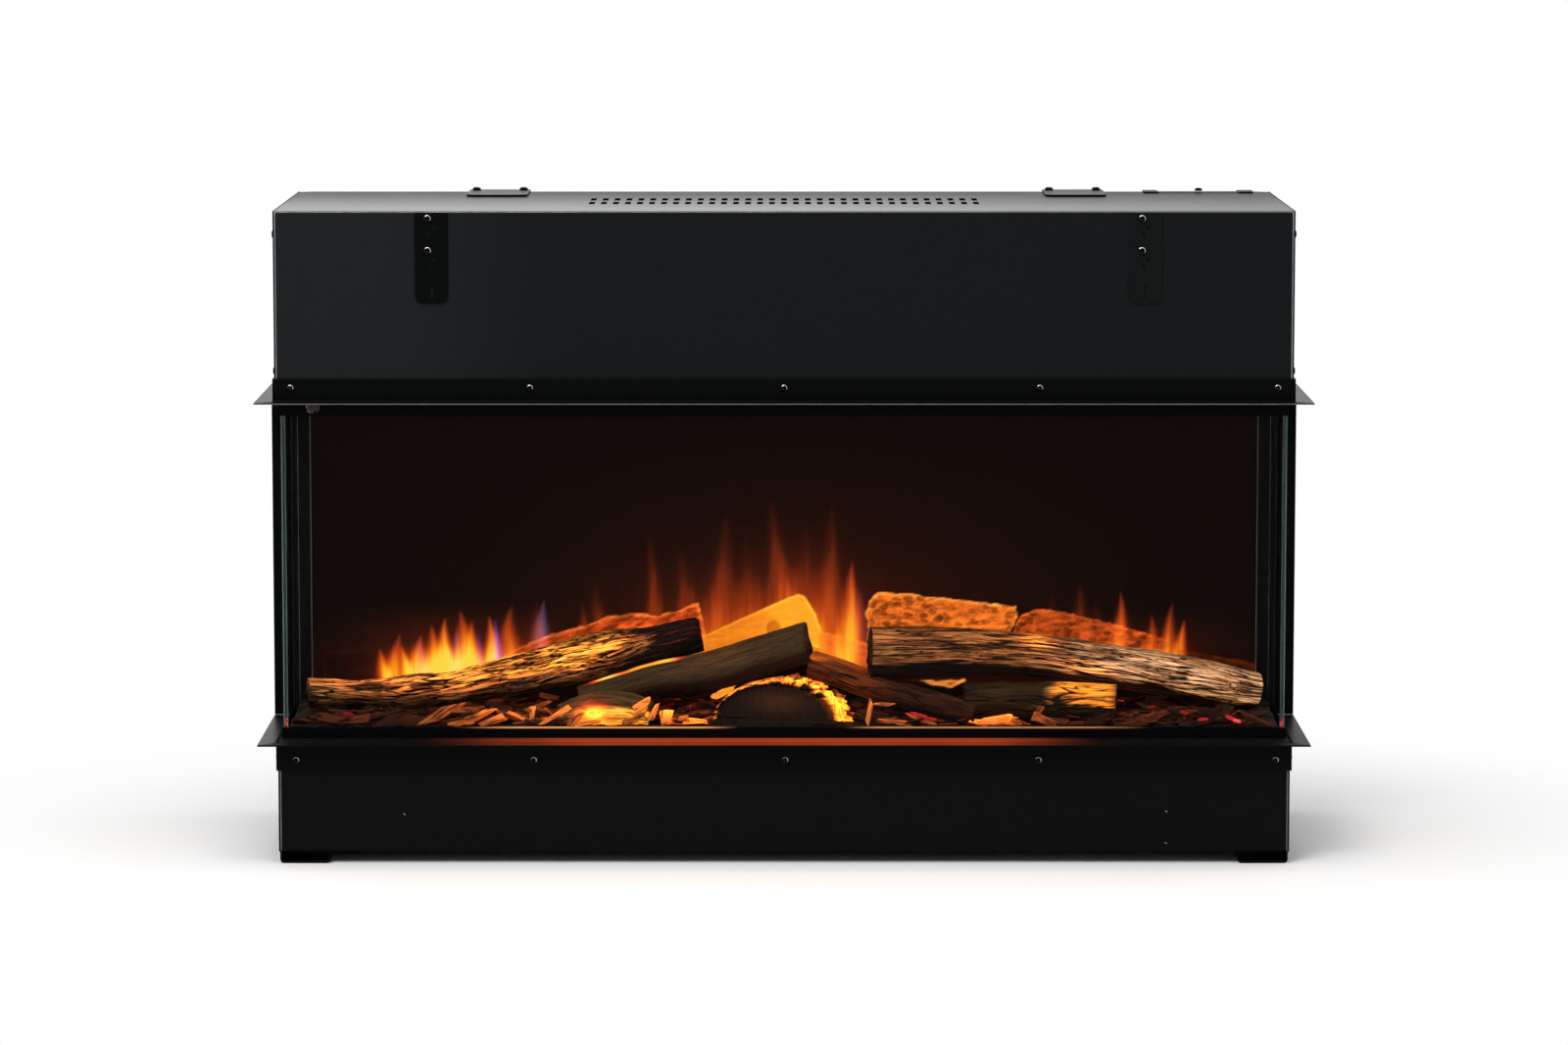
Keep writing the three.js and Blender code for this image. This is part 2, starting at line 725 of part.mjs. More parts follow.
function terminalCover() {
  const ear = coverWidth / 2;
  const well = notchWidth / 2 - gap;
  const earLevel = caseTop + gap;
  const wellLevel = caseTop - sheet + gap;
  const section = folded([
    [terminalX - ear, earLevel], [terminalX - well, earLevel], [terminalX - well, wellLevel],
    [terminalX + well, wellLevel], [terminalX + well, earLevel], [terminalX + ear, earLevel],
  ], sheet, gap);
  return extruded('lengthways', section, rearY - coverDepth, rearY);
}

function terminalBlock() {
  const body = block([-blockWidth / 2, 0, 0], [blockWidth / 2, blockDepth, blockHeight]);
  const pitch = blockWidth / blockPoles;
  const wells = spread(blockPoles, pitch).map((x) => extruded(
    'upright', circle(x, blockDepth / 2, blockPole / 2), blockHeight / 2, blockHeight + overrun));
  return cutBy(body, wells);
}

function cableGland() {
  const innerFace = boxRear - terminalBoxSheet - gap;
  const outerFace = backInner + sheet + gap;
  const profile = [
    [glandBore, innerFace - glandNutInner], [glandFlange, innerFace - glandNutInner],
    [glandFlange, innerFace], [glandBody, innerFace], [glandBody, outerFace],
    [glandFlange, outerFace], [glandFlange, outerFace + glandNut], [glandBore, outerFace + glandNut],
    [glandBore, innerFace - glandNutInner],
  ].map(([r, y]) => new THREE.Vector2(r, y));
  return new THREE.LatheGeometry(profile, roundSides);
}

place(casing, 'terminal_box', terminalBox(), 'zinc');
place(casing, 'terminal_cover', terminalCover(), 'bracket');
place(casing, 'terminal_block', terminalBlock(), 'plastic',
  [terminalX, boxRear - terminalBoxDepth + 2 * terminalBoxSheet, boxBottom + terminalBoxSheet + gap]);
place(casing, 'cable_gland', surface(solid(cableGland())), 'plastic', [terminalX, 0, glandHeight]);

// Remote receiver: a smoked dome under the hood's return, with a stem through it

function remoteReceiver() {
  const profile = [
    new THREE.Vector2(0, -receiverHeight),
    ...arc(0, -receiverHeight + receiverRadius, receiverRadius, -Math.PI / 2, 0, domeSteps)
      .slice(1).map(([r, z]) => new THREE.Vector2(r, z)),
    new THREE.Vector2(receiverRadius, -gap),
    new THREE.Vector2(receiverStem, -gap),
    new THREE.Vector2(receiverStem, receiverStemRise),
    new THREE.Vector2(0, receiverStemRise),
  ];
  return new THREE.LatheGeometry(profile, roundSides).rotateX(Math.PI / 2);
}

place(firebox, 'remote_receiver', surface(solid(remoteReceiver())), 'lens',
  [receiverInset - halfWidth, deep(receiverDepth), windowTop]);

// Chamber roof and fire pan: each is a sheet with glass channels folded round its front and
// sides. The slots are cut out of a frame and the middle is left as thin sheet.

function glassSlots(low, high) {
  const outer = glassHalf + slotPlay;
  const front = block(
    [-outer, deep(glassDepth - slotPlay), low],
    [outer, deep(glassDepth + glassThickness + slotPlay), high]);
  const sides = [-1, 1].map((side) => block(
    [side * (outer - glassThickness - 2 * slotPlay), deep(glassDepth), low],
    [side * outer, deep(chamberRear) + overrun, high]));
  return [front, ...sides];
}

function chamberRoof() {
  const low = windowTop - lipDrop;
  const high = windowTop + channelRise;
  const frame = block([-insideHalf, deep(lipFront), low], [insideHalf, deep(chamberRear), high]);
  const above = block(
    [-chamberHalf, deep(chamberFront), roofFloor + channelSheet],
    [chamberHalf, deep(chamberRear) + overrun, high + overrun]);
  const below = block(
    [-chamberHalf, deep(chamberFront), low - overrun],
    [chamberHalf, deep(chamberRear) + overrun, roofFloor]);
  return cutBy(frame, [above, below, ...glassSlots(low - overrun, high - channelSheet)]);
}

function firePan() {
  const high = plinthTop + lipRise;
  const channels = block(
    [-insideHalf, deep(lipFront), channelFloor - channelSheet], [insideHalf, deep(chamberRear), high]);
  const pan = block(
    [-chamberHalf - channelSheet, deep(chamberFront - channelSheet), panFloor - channelSheet],
    [chamberHalf + channelSheet, deep(chamberRear), high]);
  const inside = block(
    [-chamberHalf, deep(chamberFront), panFloor],
    [chamberHalf, deep(chamberRear - channelSheet), high + overrun]);
  return cutBy(channels.add(pan), [inside, ...glassSlots(channelFloor, high + overrun)]);
}

place(firebox, 'chamber_roof', chamberRoof(), 'trim');
place(firebox, 'fire_pan', firePan(), 'trim');

// Glass: the front pane lifts in its deep upper channel, the side panes butt against it

place(firebox, 'front_glass', block(
  [-glassHalf, 0, 0], [glassHalf, glassThickness, glassTop - glassBottom]), 'glass',
[0, deep(glassDepth), glassBottom]);

for (const [name, side] of [['left', -1], ['right', 1]]) {
  const start = glassThickness + glassDepth + gap;
  place(firebox, `side_glass_${name}`, block(
    [0, 0, 0], [-side * glassThickness, chamberRear - gap - start, glassTop - glassBottom]), 'glass',
  [side * glassHalf, deep(start), glassBottom]);
}

// Posts and screens: a mirrored smoked pane in front and a pale diffuser behind it

const postFront = windowDepth + gap;

function screenPost(side) {
  const outer = side * insideHalf;
  const leafEdge = side * (insideHalf - postLeaf);
  const returnEdge = side * (insideHalf - postReturn);
  const section = folded([
    [leafEdge, deep(postFront)], [outer, deep(postFront)],
    [outer, deep(postFront + postDepth)], [returnEdge, deep(postFront + postDepth)],
  ], side * sheet, gap);
  return extruded('upright', section, floorTop + gap, windowTop + postRise);
}

place(flameWorks, 'screen_post_left', screenPost(-1), 'trim');
place(flameWorks, 'screen_post_right', screenPost(1), 'trim');

const screenHalf = insideHalf - sheet - gap;
const screenLow = plinthTop - screenOverlap;
const screenHigh = windowTop + screenOverlap;
const mirrorDepth = postFront + sheet + gap;
const diffuserDepth = postFront + postDepth - sheet - gap - diffuserThickness;

place(flameWorks, 'mirror_screen', block(
  [-screenHalf, 0, 0], [screenHalf, mirrorThickness, screenHigh - screenLow]), 'mirror',
[0, deep(mirrorDepth), screenLow]);
place(flameWorks, 'diffuser_screen', block(
  [-screenHalf, 0, 0], [screenHalf, diffuserThickness, screenHigh - screenLow]), 'diffuser',
[0, deep(diffuserDepth), screenLow]);

// Flame mask: a sheet with a row of flame-shaped windows, tallest in the middle

function flameMask() {
  const half = halfWidth - maskInset;
  const front = deep(postFront + postDepth + gap);
  const sheetBody = block(
    [-half, front, maskBottom], [half, front + maskSheet, maskBottom + maskHeight]);
  const flames = spread(flameCount, flamePitch).map((x, i) => {
    const middleShare = 1 - Math.abs(x) / (flamePitch * flameCount / 2);
    const rippleShare = (1 + Math.sin(flameBeat * i)) / 2;
    const liveShare = flameCalmShare + (1 - flameCalmShare) * rippleShare;
    const tall = flameShort + (flameTall - flameShort) * middleShare * liveShare;
    return extruded(
      'lengthways', flameShares.map(([u, v]) => [x + u * flameWidth, flameBase + v * tall]),
      front - overrun, front + maskSheet + overrun);
  });
  return cutBy(sheetBody, flames);
}

place(flameWorks, 'flame_mask', flameMask(), 'mask');

// Flicker spindle: a rod with rings of tilted, polished petals that turn along it

const spindlePlace = [0, deep(spindleDepth), spindleHeight];
const bracketInner = spindleReach - bracketPlate;

function flameSpindle() {
  const start = -spindleReach - gap;
  const end = spindleReach + gap + motorBossLength;
  const rod = extruded('across', circle(0, 0, rodRadius), start, end);
  const petals = spread(petalRings, petalPitch).flatMap((x, ring) => (
    Array.from({ length: petalsPerRing }, (_, i) => {
      const root = rodRadius / 2;
      const petal = new THREE.BoxGeometry(petalLength, petalSheet, petalReach - root);
      petal.translate(0, 0, (petalReach + root) / 2);
      petal.rotateZ(petalTilt);
      petal.rotateX(ring * petalStep + 2 * Math.PI * i / petalsPerRing);
      return solid(petal.translate(x, 0, 0));
    })
  ));
  return joined([rod, ...petals]);
}

function spindleBracket(side) {
  const foot = side * bracketFoot;
  const section = folded([
    [side * bracketInner - foot, floorTop + gap], [side * spindleReach, floorTop + gap],
    [side * spindleReach, spindleHeight + bracketPlateTop],
  ], side * bracketPlate);
  const body = extruded('lengthways', section, -bracketPlateWidth / 2, bracketPlateWidth / 2);
  const hole = extruded(
    'across', circle(0, spindleHeight, clearing(rodRadius, roundSides), roundSides),
    Math.min(side * bracketInner, side * spindleReach) - overrun,
    Math.max(side * bracketInner, side * spindleReach) + overrun);
  return body.subtract(hole);
}

function spindleMotor() {
  const face = spindleReach + gap;
  const bodyFace = face + motorBossLength;
  const boreEnd = bodyFace + shaftEngage;
  const body = extruded(
    'across', circle(0, 0, motorRadius, roundSides), bodyFace, bodyFace + motorLength);
  const boss = extruded('across', circle(0, 0, motorBoss, roundSides), face, boreEnd);
  const bore = extruded(
    'across', circle(0, 0, clearing(rodRadius, roundSides), roundSides), face - overrun, boreEnd);
  return cutBy(body.add(boss), [bore]);
}

place(flameWorks, 'flame_spindle', flameSpindle(), 'silver', spindlePlace);
place(flameWorks, 'spindle_bush_bracket', spindleBracket(-1), 'zinc', [0, deep(spindleDepth), 0]);
place(flameWorks, 'motor_bracket', spindleBracket(1), 'zinc', [0, deep(spindleDepth), 0]);
place(flameWorks, 'spindle_motor', spindleMotor(), 'motor', spindlePlace);

// Lamp boards: one on the back panel for the flames, one under the bark for the embers

function lampBoard(width) {
  const half = halfWidth - boardInset;
  const board = block([-half, -width / 2, 0], [half, width / 2, boardThickness]);
  const pitch = 2 * (half - connectorLength - lampSize) / lampCount;
  const low = boardThickness / 2;
  const lamps = spread(lampCount, pitch).map((x) => block(
    [x - lampSize / 2, -lampSize / 2, low],
    [x + lampSize / 2, lampSize / 2, boardThickness + lampRise]));
  const connector = block(
    [half - connectorLength, -width / 4, low],
    [half, width / 4, boardThickness + connectorRise]);
  return joined([board, ...lamps, connector]);
}

const flameBoard = place(flameWorks, 'flame_lamp_board', lampBoard(flameBoardWidth), 'board',
  [0, backInner - gap, flameBoardHeight]);
flameBoard.rotation.x = Math.PI / 2;
place(flameWorks, 'ember_lamp_board', lampBoard(emberBoardWidth), 'board',
  [0, deep(emberBoardDepth), panFloor + gap]);

// Logs: a bark tube through stations, each one across, deep, up and girth, as shares of the
// chamber's half width, the bed's depth, the pile's height and the log girth

const logShares = {
  log_long_left: [
    [-0.97, 0.34, 0.387, 0.68], [-0.911, 0.374, 0.373, 0.66], [-0.852, 0.407, 0.363, 0.66],
    [-0.745, 0.461, 0.384, 0.82], [-0.679, 0.501, 0.398, 0.8], [-0.58, 0.561, 0.485, 0.88],
    [-0.488, 0.615, 0.568, 0.95], [-0.364, 0.66, 0.701, 1.02], [-0.267, 0.655, 0.812, 0.87],
    [-0.17, 0.64, 0.941, 0.74],
  ],
  log_long_right: [
    [0.176, 0.233, 0.83, 1.24], [0.258, 0.26, 0.826, 1.24], [0.366, 0.3, 0.812, 1.13],
    [0.479, 0.347, 0.785, 1.0], [0.648, 0.427, 0.663, 0.98], [0.821, 0.568, 0.485, 1.0],
    [0.975, 0.7, 0.328, 0.78],
  ],
  log_centre: [
    [-0.411, 0.57, 0.248, 0.7], [-0.322, 0.545, 0.394, 0.74], [-0.264, 0.515, 0.478, 0.8],
    [-0.143, 0.445, 0.593, 0.93], [-0.055, 0.39, 0.743, 0.93], [0.048, 0.34, 0.914, 0.95],
  ],
  log_small_right: [
    [0.07, 0.36, 0.715, 0.5], [0.1, 0.33, 0.649, 0.55], [0.169, 0.273, 0.516, 0.6],
    [0.238, 0.22, 0.401, 0.63], [0.317, 0.173, 0.289, 0.6], [0.389, 0.139, 0.202, 0.5],
  ],
  log_dark_right: [
    [0.368, 0.25, 0.307, 0.93], [0.437, 0.235, 0.314, 0.98], [0.517, 0.22, 0.314, 0.96],
    [0.596, 0.205, 0.314, 0.94], [0.678, 0.19, 0.314, 0.88],
  ],
  log_low_left: [
    [-0.455, 0.18, 0.174, 0.57], [-0.409, 0.166, 0.227, 0.75], [-0.359, 0.153, 0.251, 0.84],
    [-0.309, 0.139, 0.241, 0.78], [-0.271, 0.133, 0.209, 0.62],
  ],
};

// Each ring stands square to the log's run. The bark is a sum of ripples round the ring
// that drift along the log, and grow widens the whole log for cutting a seat for it.
function log(shares, seed, grow = 0) {
  const stations = shares.map(([x, y, z, girth]) => ({
    at: new THREE.Vector3(
      x * chamberHalf, deep(chamberFront + y * bedDepth), plinthTop + z * pileHeight),
    radius: girth * logGirth / 2,
  }));
  const positions = [];
  const faces = [];
  const up = new THREE.Vector3(0, 0, 1);
  stations.forEach(({ at, radius }, i) => {
    const before = stations[Math.max(i - 1, 0)].at;
    const after = stations[Math.min(i + 1, stations.length - 1)].at;
    const run = after.clone().sub(before).normalize();
    const across = up.clone().cross(run).normalize();
    const over = run.clone().cross(across);
    const endPush = i === 0 ? -grow : i === stations.length - 1 ? grow : 0;
    const centre = at.clone().addScaledVector(run, endPush);
    for (let k = 0; k < logSides; k += 1) {
      const angle = 2 * Math.PI * k / logSides;
      const ripple = barkRipples.reduce((sum, { lobes, share, seeds: turn, drift }) => (
        sum + share * Math.sin(lobes * angle + turn * seed + drift * i)), 0);
      const reach = radius * (1 + barkShare * ripple) + grow;
      const point = centre.clone()
        .addScaledVector(across, reach * Math.cos(angle))
        .addScaledVector(over, reach * Math.sin(angle));
      positions.push(point.x, point.y, point.z);
    }
  });
  const ring = (i, k) => i * logSides + (k % logSides);
  for (let i = 0; i < stations.length - 1; i += 1) {
    for (let k = 0; k < logSides; k += 1) {
      faces.push(ring(i, k), ring(i + 1, k + 1), ring(i + 1, k));
      faces.push(ring(i, k), ring(i, k + 1), ring(i + 1, k + 1));
    }
  }
  const lastRing = stations.length - 1;
  for (let k = 1; k < logSides - 1; k += 1) {
    faces.push(ring(0, 0), ring(0, k + 1), ring(0, k));
    faces.push(ring(lastRing, 0), ring(lastRing, k), ring(lastRing, k + 1));
  }
  const geometry = new THREE.BufferGeometry();
  geometry.setAttribute('position', new THREE.Float32BufferAttribute(positions, 3));
  geometry.setIndex(faces);
  return solid(geometry);
}

// The half-round log in the middle shows its sawn end: a low arch with a bark edge
function halfLog(grow = 0) {
  const half = halfLogWidth / 2;
  const arch = Array.from({ length: halfLogSteps + 1 }, (_, i) => {
    const angle = Math.PI * i / halfLogSteps;
    const bark = halfLogRipples.reduce((sum, { lobes, share, start }) => (
      sum + share * Math.sin(lobes * angle + start)), 0);
    const swell = 1 + barkShare * bark;
    return [
      (half * swell + grow) * Math.cos(angle),
      (halfLogHeight * swell + grow) * Math.sin(angle) ** halfLogFullness - grow,
    ];
  });
  const shape = new THREE.Shape(arch.map(([u, v]) => new THREE.Vector2(u, v)));
  const geometry = new THREE.ExtrudeGeometry(shape, {
    depth: halfLogLength + 2 * grow, bevelEnabled: false, steps: 1,
  });
  geometry.translate(0, 0, -grow - halfLogLength);
  geometry.rotateX(Math.PI / 2);
  geometry.rotateX(halfLogTilt);
  geometry.rotateZ(halfLogTurn);
  geometry.translate(halfLogX, deep(halfLogDepth), plinthTop + lipRise);
  return solid(geometry);
}

const seeds = {
  log_long_left: 0.4, log_long_right: 1.7, log_centre: 2.6, log_small_right: 3.3,
  log_dark_right: 4.1, log_low_left: 5.2,
};
const whole = Object.fromEntries(Object.entries(logShares).map(
  ([name, shares]) => [name, log(shares, seeds[name])]));
const seats = Object.fromEntries(Object.entries(logShares).map(
  ([name, shares]) => [name, log(shares, seeds[name], gap)]));
whole.log_half_front = halfLog();
seats.log_half_front = halfLog(gap);

// What each log is cut by: those that lie on it
const bearing = {
  log_long_left: [],
  log_long_right: [],
  log_centre: ['log_long_left'],
  log_small_right: ['log_long_right', 'log_centre'],
  log_dark_right: ['log_long_right', 'log_small_right'],
  log_half_front: ['log_centre', 'log_small_right'],
  log_low_left: ['log_long_left', 'log_centre'],
};

const largest = (body) => body.decompose().reduce((a, b) => (a.volume() > b.volume() ? a : b));

for (const [name, above] of Object.entries(bearing)) {
  const finish = name.includes('long') ? 'bark' : 'darkLog';
  place(firebox, name, largest(cutBy(whole[name], above.map((other) => seats[other]))), finish);
}

// Bark bed: a lumpy block that fills the pan, with a groove for the lamps under it, chips of
// bark along the front and a seat for each log. Crumbs that a log cuts off are left out.

const bedFront = chamberFront + gap;
const bedRear = chamberRear - channelSheet - gap;
const bedHalf = chamberHalf - gap;

function bedHeight(x, depthShare) {
  const lump = bedWaves.reduce((sum, { length, slant, start }) => (
    sum + Math.sin(x / length + slant * depthShare + start)), 0);
  return plinthTop + bedRise + bedSwell * depthShare + bedLump * lump / bedWaves.length;
}

function bedBlock() {
  const low = panFloor + gap;
  const positions = [];
  const faces = [];
  const columns = bedColumns + 1;
  const count = columns * (bedRows + 1);
  for (const isTop of [true, false]) {
    for (let j = 0; j <= bedRows; j += 1) {
      for (let i = 0; i <= bedColumns; i += 1) {
        const x = bedHalf * (2 * i / bedColumns - 1);
        const share = j / bedRows;
        const z = isTop ? bedHeight(x, share) : low;
        positions.push(x, deep(bedFront + share * (bedRear - bedFront)), z);
      }
    }
  }
  const at = (i, j, layer) => layer * count + j * columns + i;
  const quad = (a, b, c, d) => faces.push(a, b, c, a, c, d);
  for (let j = 0; j < bedRows; j += 1) {
    for (let i = 0; i < bedColumns; i += 1) {
      quad(at(i, j, 0), at(i + 1, j, 0), at(i + 1, j + 1, 0), at(i, j + 1, 0));
      quad(at(i, j, 1), at(i, j + 1, 1), at(i + 1, j + 1, 1), at(i + 1, j, 1));
    }
  }
  for (let i = 0; i < bedColumns; i += 1) {
    quad(at(i, 0, 1), at(i + 1, 0, 1), at(i + 1, 0, 0), at(i, 0, 0));
    quad(at(i + 1, bedRows, 1), at(i, bedRows, 1), at(i, bedRows, 0), at(i + 1, bedRows, 0));
  }
  for (let j = 0; j < bedRows; j += 1) {
    quad(at(0, j + 1, 1), at(0, j, 1), at(0, j, 0), at(0, j + 1, 0));
    const end = bedColumns;
    quad(at(end, j, 1), at(end, j + 1, 1), at(end, j + 1, 0), at(end, j, 0));
  }
  const geometry = new THREE.BufferGeometry();
  geometry.setAttribute('position', new THREE.Float32BufferAttribute(positions, 3));
  geometry.setIndex(faces);
  return solid(geometry);
}

// Each chip has its own length, lean and place, drawn from a sine that looks irregular
function chip(i) {
  const chance = (k) => (1 + Math.sin(chanceStep * (i + 1) * k + k)) / 2;
  const length = chipLength * (chipShortShare + (chipLongShare - chipShortShare) * chance(1));
  const outline = chipShares.map(([u, v]) => new THREE.Vector2(u * length, v * chipWidth));
  const geometry = new THREE.ExtrudeGeometry(new THREE.Shape(outline), {
    depth: chipThickness, bevelEnabled: false, steps: 1,
  });
  geometry.translate(0, 0, -chipThickness / 2);
  geometry.rotateX(chipRoll * (chance(2) - 1 / 2));
  geometry.rotateY(chipPitchTurn * (chance(3) - 1 / 2));
  geometry.rotateZ(Math.PI * chance(4));
  const evenShare = (2 * i + 1) / chipCount - 1;
  const x = (bedHalf - chipLength) * evenShare + chipStray * (chance(5) - 1 / 2);
  const share = chipRowShares[i % chipRowShares.length] + chipStrayShare * chance(6);
  const y = deep(bedFront + share * (bedRear - bedFront));
  geometry.translate(x, y, bedHeight(x, share) + chipRise);
  return solid(geometry);
}

function barkBed() {
  const chips = Array.from({ length: chipCount }, (_, i) => chip(i));
  const within = block(
    [-bedHalf, deep(bedFront), panFloor], [bedHalf, deep(bedRear), windowTop]);
  const half = halfWidth - boardInset + grooveMargin;
  const groove = block(
    [-half, deep(emberBoardDepth) - emberBoardWidth / 2 - grooveMargin, panFloor - overrun],
    [half, deep(emberBoardDepth) + emberBoardWidth / 2 + grooveMargin,
      panFloor + boardThickness + connectorRise + grooveMargin]);
  const filled = joined([bedBlock(), ...chips]).intersect(within);
  return largest(cutBy(filled, [groove, ...Object.values(seats)]));
}

place(firebox, 'bark_bed', barkBed(), 'chips');

// Fan heater. The blower draws air from the hood and pushes it down the duct, through the
// element and out of the slots in the hood's return.

const ductLow = windowTop + sheet + gap;
const blowerY = deep(blowerDepth);
const ductBack = deep(ductFront + ductDepth);
const scrollStart = impellerRadius + impellerPlay;

function blowerHousing() {
  const half = blowerLength / 2;
  const spiral = Array.from({ length: scrollSteps + 1 }, (_, i) => {
    const share = i / scrollSteps;
    const angle = scrollStartTurn + (scrollEndTurn - scrollStartTurn) * share;
    const radius = scrollStart + scrollGrowth * share;
    return [blowerY + radius * Math.cos(angle), blowerHeight + radius * Math.sin(angle)];
  });
  const scrollLow = blowerHeight - scrollStart - scrollGrowth;
  const rear = folded(
    [...spiral, [ductBack, scrollLow - scrollGrowth], [ductBack, ductLow]], ductSheet, gap);
  const lipEnd = [
    blowerY - scrollStart * Math.cos(lipTurn), blowerHeight + scrollStart * Math.sin(lipTurn) + gap];
  const front = folded([
    [deep(ductFront), ductLow], [deep(ductFront), blowerHeight + impellerRadius / 2], lipEnd,
  ], -ductSheet, gap);
  const walls = [rear, front].map((outline) => extruded('across', outline, -half, half));
  const plateShape = [
    [deep(ductFront), ductLow], [ductBack + ductSheet, ductLow],
    [ductBack + ductSheet, scrollLow - scrollGrowth],
    [blowerY + scrollStart + endPlateMargin, scrollLow],
    [blowerY + scrollStart + endPlateMargin, blowerHeight + scrollStart],
    [deep(ductFront), blowerHeight + scrollStart],
  ];
  const plates = [-1, 1].map((side) => extruded(
    'across', plateShape, Math.min(side * half, side * (half + ductSheet)),
    Math.max(side * half, side * (half + ductSheet))));
  const shaftHole = extruded(
    'across', circle(blowerY, blowerHeight, clearing(shaftRadius, roundSides), roundSides),
    -half - ductSheet - overrun, half + ductSheet + overrun);
  return joined([...walls, ...plates]).subtract(shaftHole);
}

function impeller() {
  const half = blowerLength / 2 - gap;
  const width = 2 * half - 2 * impellerDisc;
  const discs = spread(impellerDiscs, width / (impellerDiscs - 1)).map((x) => extruded(
    'across', circle(0, 0, impellerRadius, roundSides), x - impellerDisc / 2, x + impellerDisc / 2));
  const blades = Array.from({ length: bladeCount }, (_, i) => {
    const start = 2 * Math.PI * i / bladeCount;
    const outline = [0, 1 / 2, 1].map((share) => {
      const radius = impellerRadius - bladeSheet - bladeDepth * share;
      const angle = start + bladeSweep * share + bladeCurl * Math.sin(Math.PI * share);
      return [radius * Math.cos(angle), radius * Math.sin(angle)];
    });
    const thick = bladeSheet / impellerRadius;
    const other = outline.map(([u, v]) => [
      u * Math.cos(thick) - v * Math.sin(thick), u * Math.sin(thick) + v * Math.cos(thick)]).reverse();
    return extruded('across', [...outline, ...other], -width / 2, width / 2);
  });
  const shaft = extruded(
    'across', circle(0, 0, shaftRadius), -blowerLength / 2 - 2 * ductSheet,
    blowerLength / 2 + ductSheet + gap + blowerShaftEngage);
  return joined([shaft, ...discs, ...blades]);
}

function blowerMotor() {
  const face = blowerLength / 2 + ductSheet + gap;
  const body = extruded(
    'across', circle(0, 0, blowerMotorRadius, roundSides), face, face + blowerMotorLength);
  const bore = extruded(
    'across', circle(0, 0, clearing(shaftRadius, roundSides), roundSides),
    face - overrun, face + blowerShaftEngage + gap);
  return body.subtract(bore);
}

function heaterElement() {
  const half = blowerLength / 2 - gap;
  const front = deep(ductFront) + ductSheet + gap;
  const back = ductBack - gap;
  const low = ductLow + elementRise;
  const high = low + elementHeight;
  const frame = block([-half, front, low], [half, back, high]);
  const rim = (back - front) * rimShare;
  const slots = spread(finCount, finPitch).map((x) => block(
    [x - finSlot / 2, front + rim, low - overrun], [x + finSlot / 2, back - rim, high + overrun]));
  return cutBy(frame, slots);
}

function thermalCutout() {
  const can = extruded('lengthways', circle(0, 0, cutoutRadius, roundSides), 0, cutoutLength);
  const tabs = [-1, 1].map((side) => block(
    [side * cutoutRadius / 2, cutoutLength - 2 * tabThickness, -tabHeight / 2],
    [side * (cutoutRadius + tabLength), cutoutLength - tabThickness, tabHeight / 2]));
  return joined([can, ...tabs]);
}

const blowerPlace = [0, blowerY, blowerHeight];
place(heater, 'blower_housing', blowerHousing(), 'zinc');
place(heater, 'blower_impeller', impeller(), 'silver', blowerPlace);
place(heater, 'blower_motor', blowerMotor(), 'motor', blowerPlace);
place(heater, 'heater_element', heaterElement(), 'silver');
place(heater, 'thermal_cutout', thermalCutout(), 'plastic',
  [cutoutX, ductBack + ductSheet + gap, ductLow + elementRise + elementHeight / 2]);

// Control board: relays and capacitors on a board that stands on four pillars

function controlBoard() {
  const half = controlWidth / 2;
  const halfLength = controlLength / 2;
  const boardTop = controlStand + boardThickness;
  const inBoard = controlStand + boardThickness / 2;
  const board = block([-half, -halfLength, controlStand], [half, halfLength, boardTop]);
  const pillarX = half - 2 * pillarRadius;
  const pillarY = halfLength - 2 * pillarRadius;
  const pillars = [-1, 1].flatMap((u) => [-1, 1].map((v) => extruded(
    'upright', circle(u * pillarX, v * pillarY, pillarRadius), 0, inBoard)));
  const relays = spread(relayCount, relayPitch).map((x) => block(
    [x - relayWidth / 2, -relayLength, inBoard], [x + relayWidth / 2, 0, boardTop + relayHeight]));
  const capacitors = spread(capacitorCount, relayPitch).map((x) => extruded(
    'upright', circle(x, halfLength / 2, capacitorRadius, roundSides),
    inBoard, boardTop + capacitorHeight));
  return joined([board, ...pillars, ...relays, ...capacitors]);
}

place(heater, 'control_board', controlBoard(), 'board',
  [controlX, deep(controlDepth), roofFloor + channelSheet + gap]);

export default group;
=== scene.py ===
import json
import math
from types import SimpleNamespace

import bpy
import numpy as np
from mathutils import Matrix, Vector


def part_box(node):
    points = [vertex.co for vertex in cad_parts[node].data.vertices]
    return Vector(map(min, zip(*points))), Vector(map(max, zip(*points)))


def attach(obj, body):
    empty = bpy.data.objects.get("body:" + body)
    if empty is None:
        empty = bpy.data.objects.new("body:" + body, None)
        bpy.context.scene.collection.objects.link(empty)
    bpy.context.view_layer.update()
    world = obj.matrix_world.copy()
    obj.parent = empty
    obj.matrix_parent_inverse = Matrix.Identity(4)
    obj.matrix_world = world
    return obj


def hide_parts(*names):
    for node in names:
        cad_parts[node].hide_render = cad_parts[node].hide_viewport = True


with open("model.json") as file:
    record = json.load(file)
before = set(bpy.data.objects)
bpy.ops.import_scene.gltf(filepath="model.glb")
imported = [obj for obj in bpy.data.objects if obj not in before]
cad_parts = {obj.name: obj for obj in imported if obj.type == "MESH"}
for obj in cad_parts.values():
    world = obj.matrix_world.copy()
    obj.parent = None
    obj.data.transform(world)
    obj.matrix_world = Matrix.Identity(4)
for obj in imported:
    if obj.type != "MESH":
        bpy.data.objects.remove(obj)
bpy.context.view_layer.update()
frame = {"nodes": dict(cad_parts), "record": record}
nodes = frame["nodes"]
scene = bpy.context.scene
scene.view_settings.view_transform = "Standard"

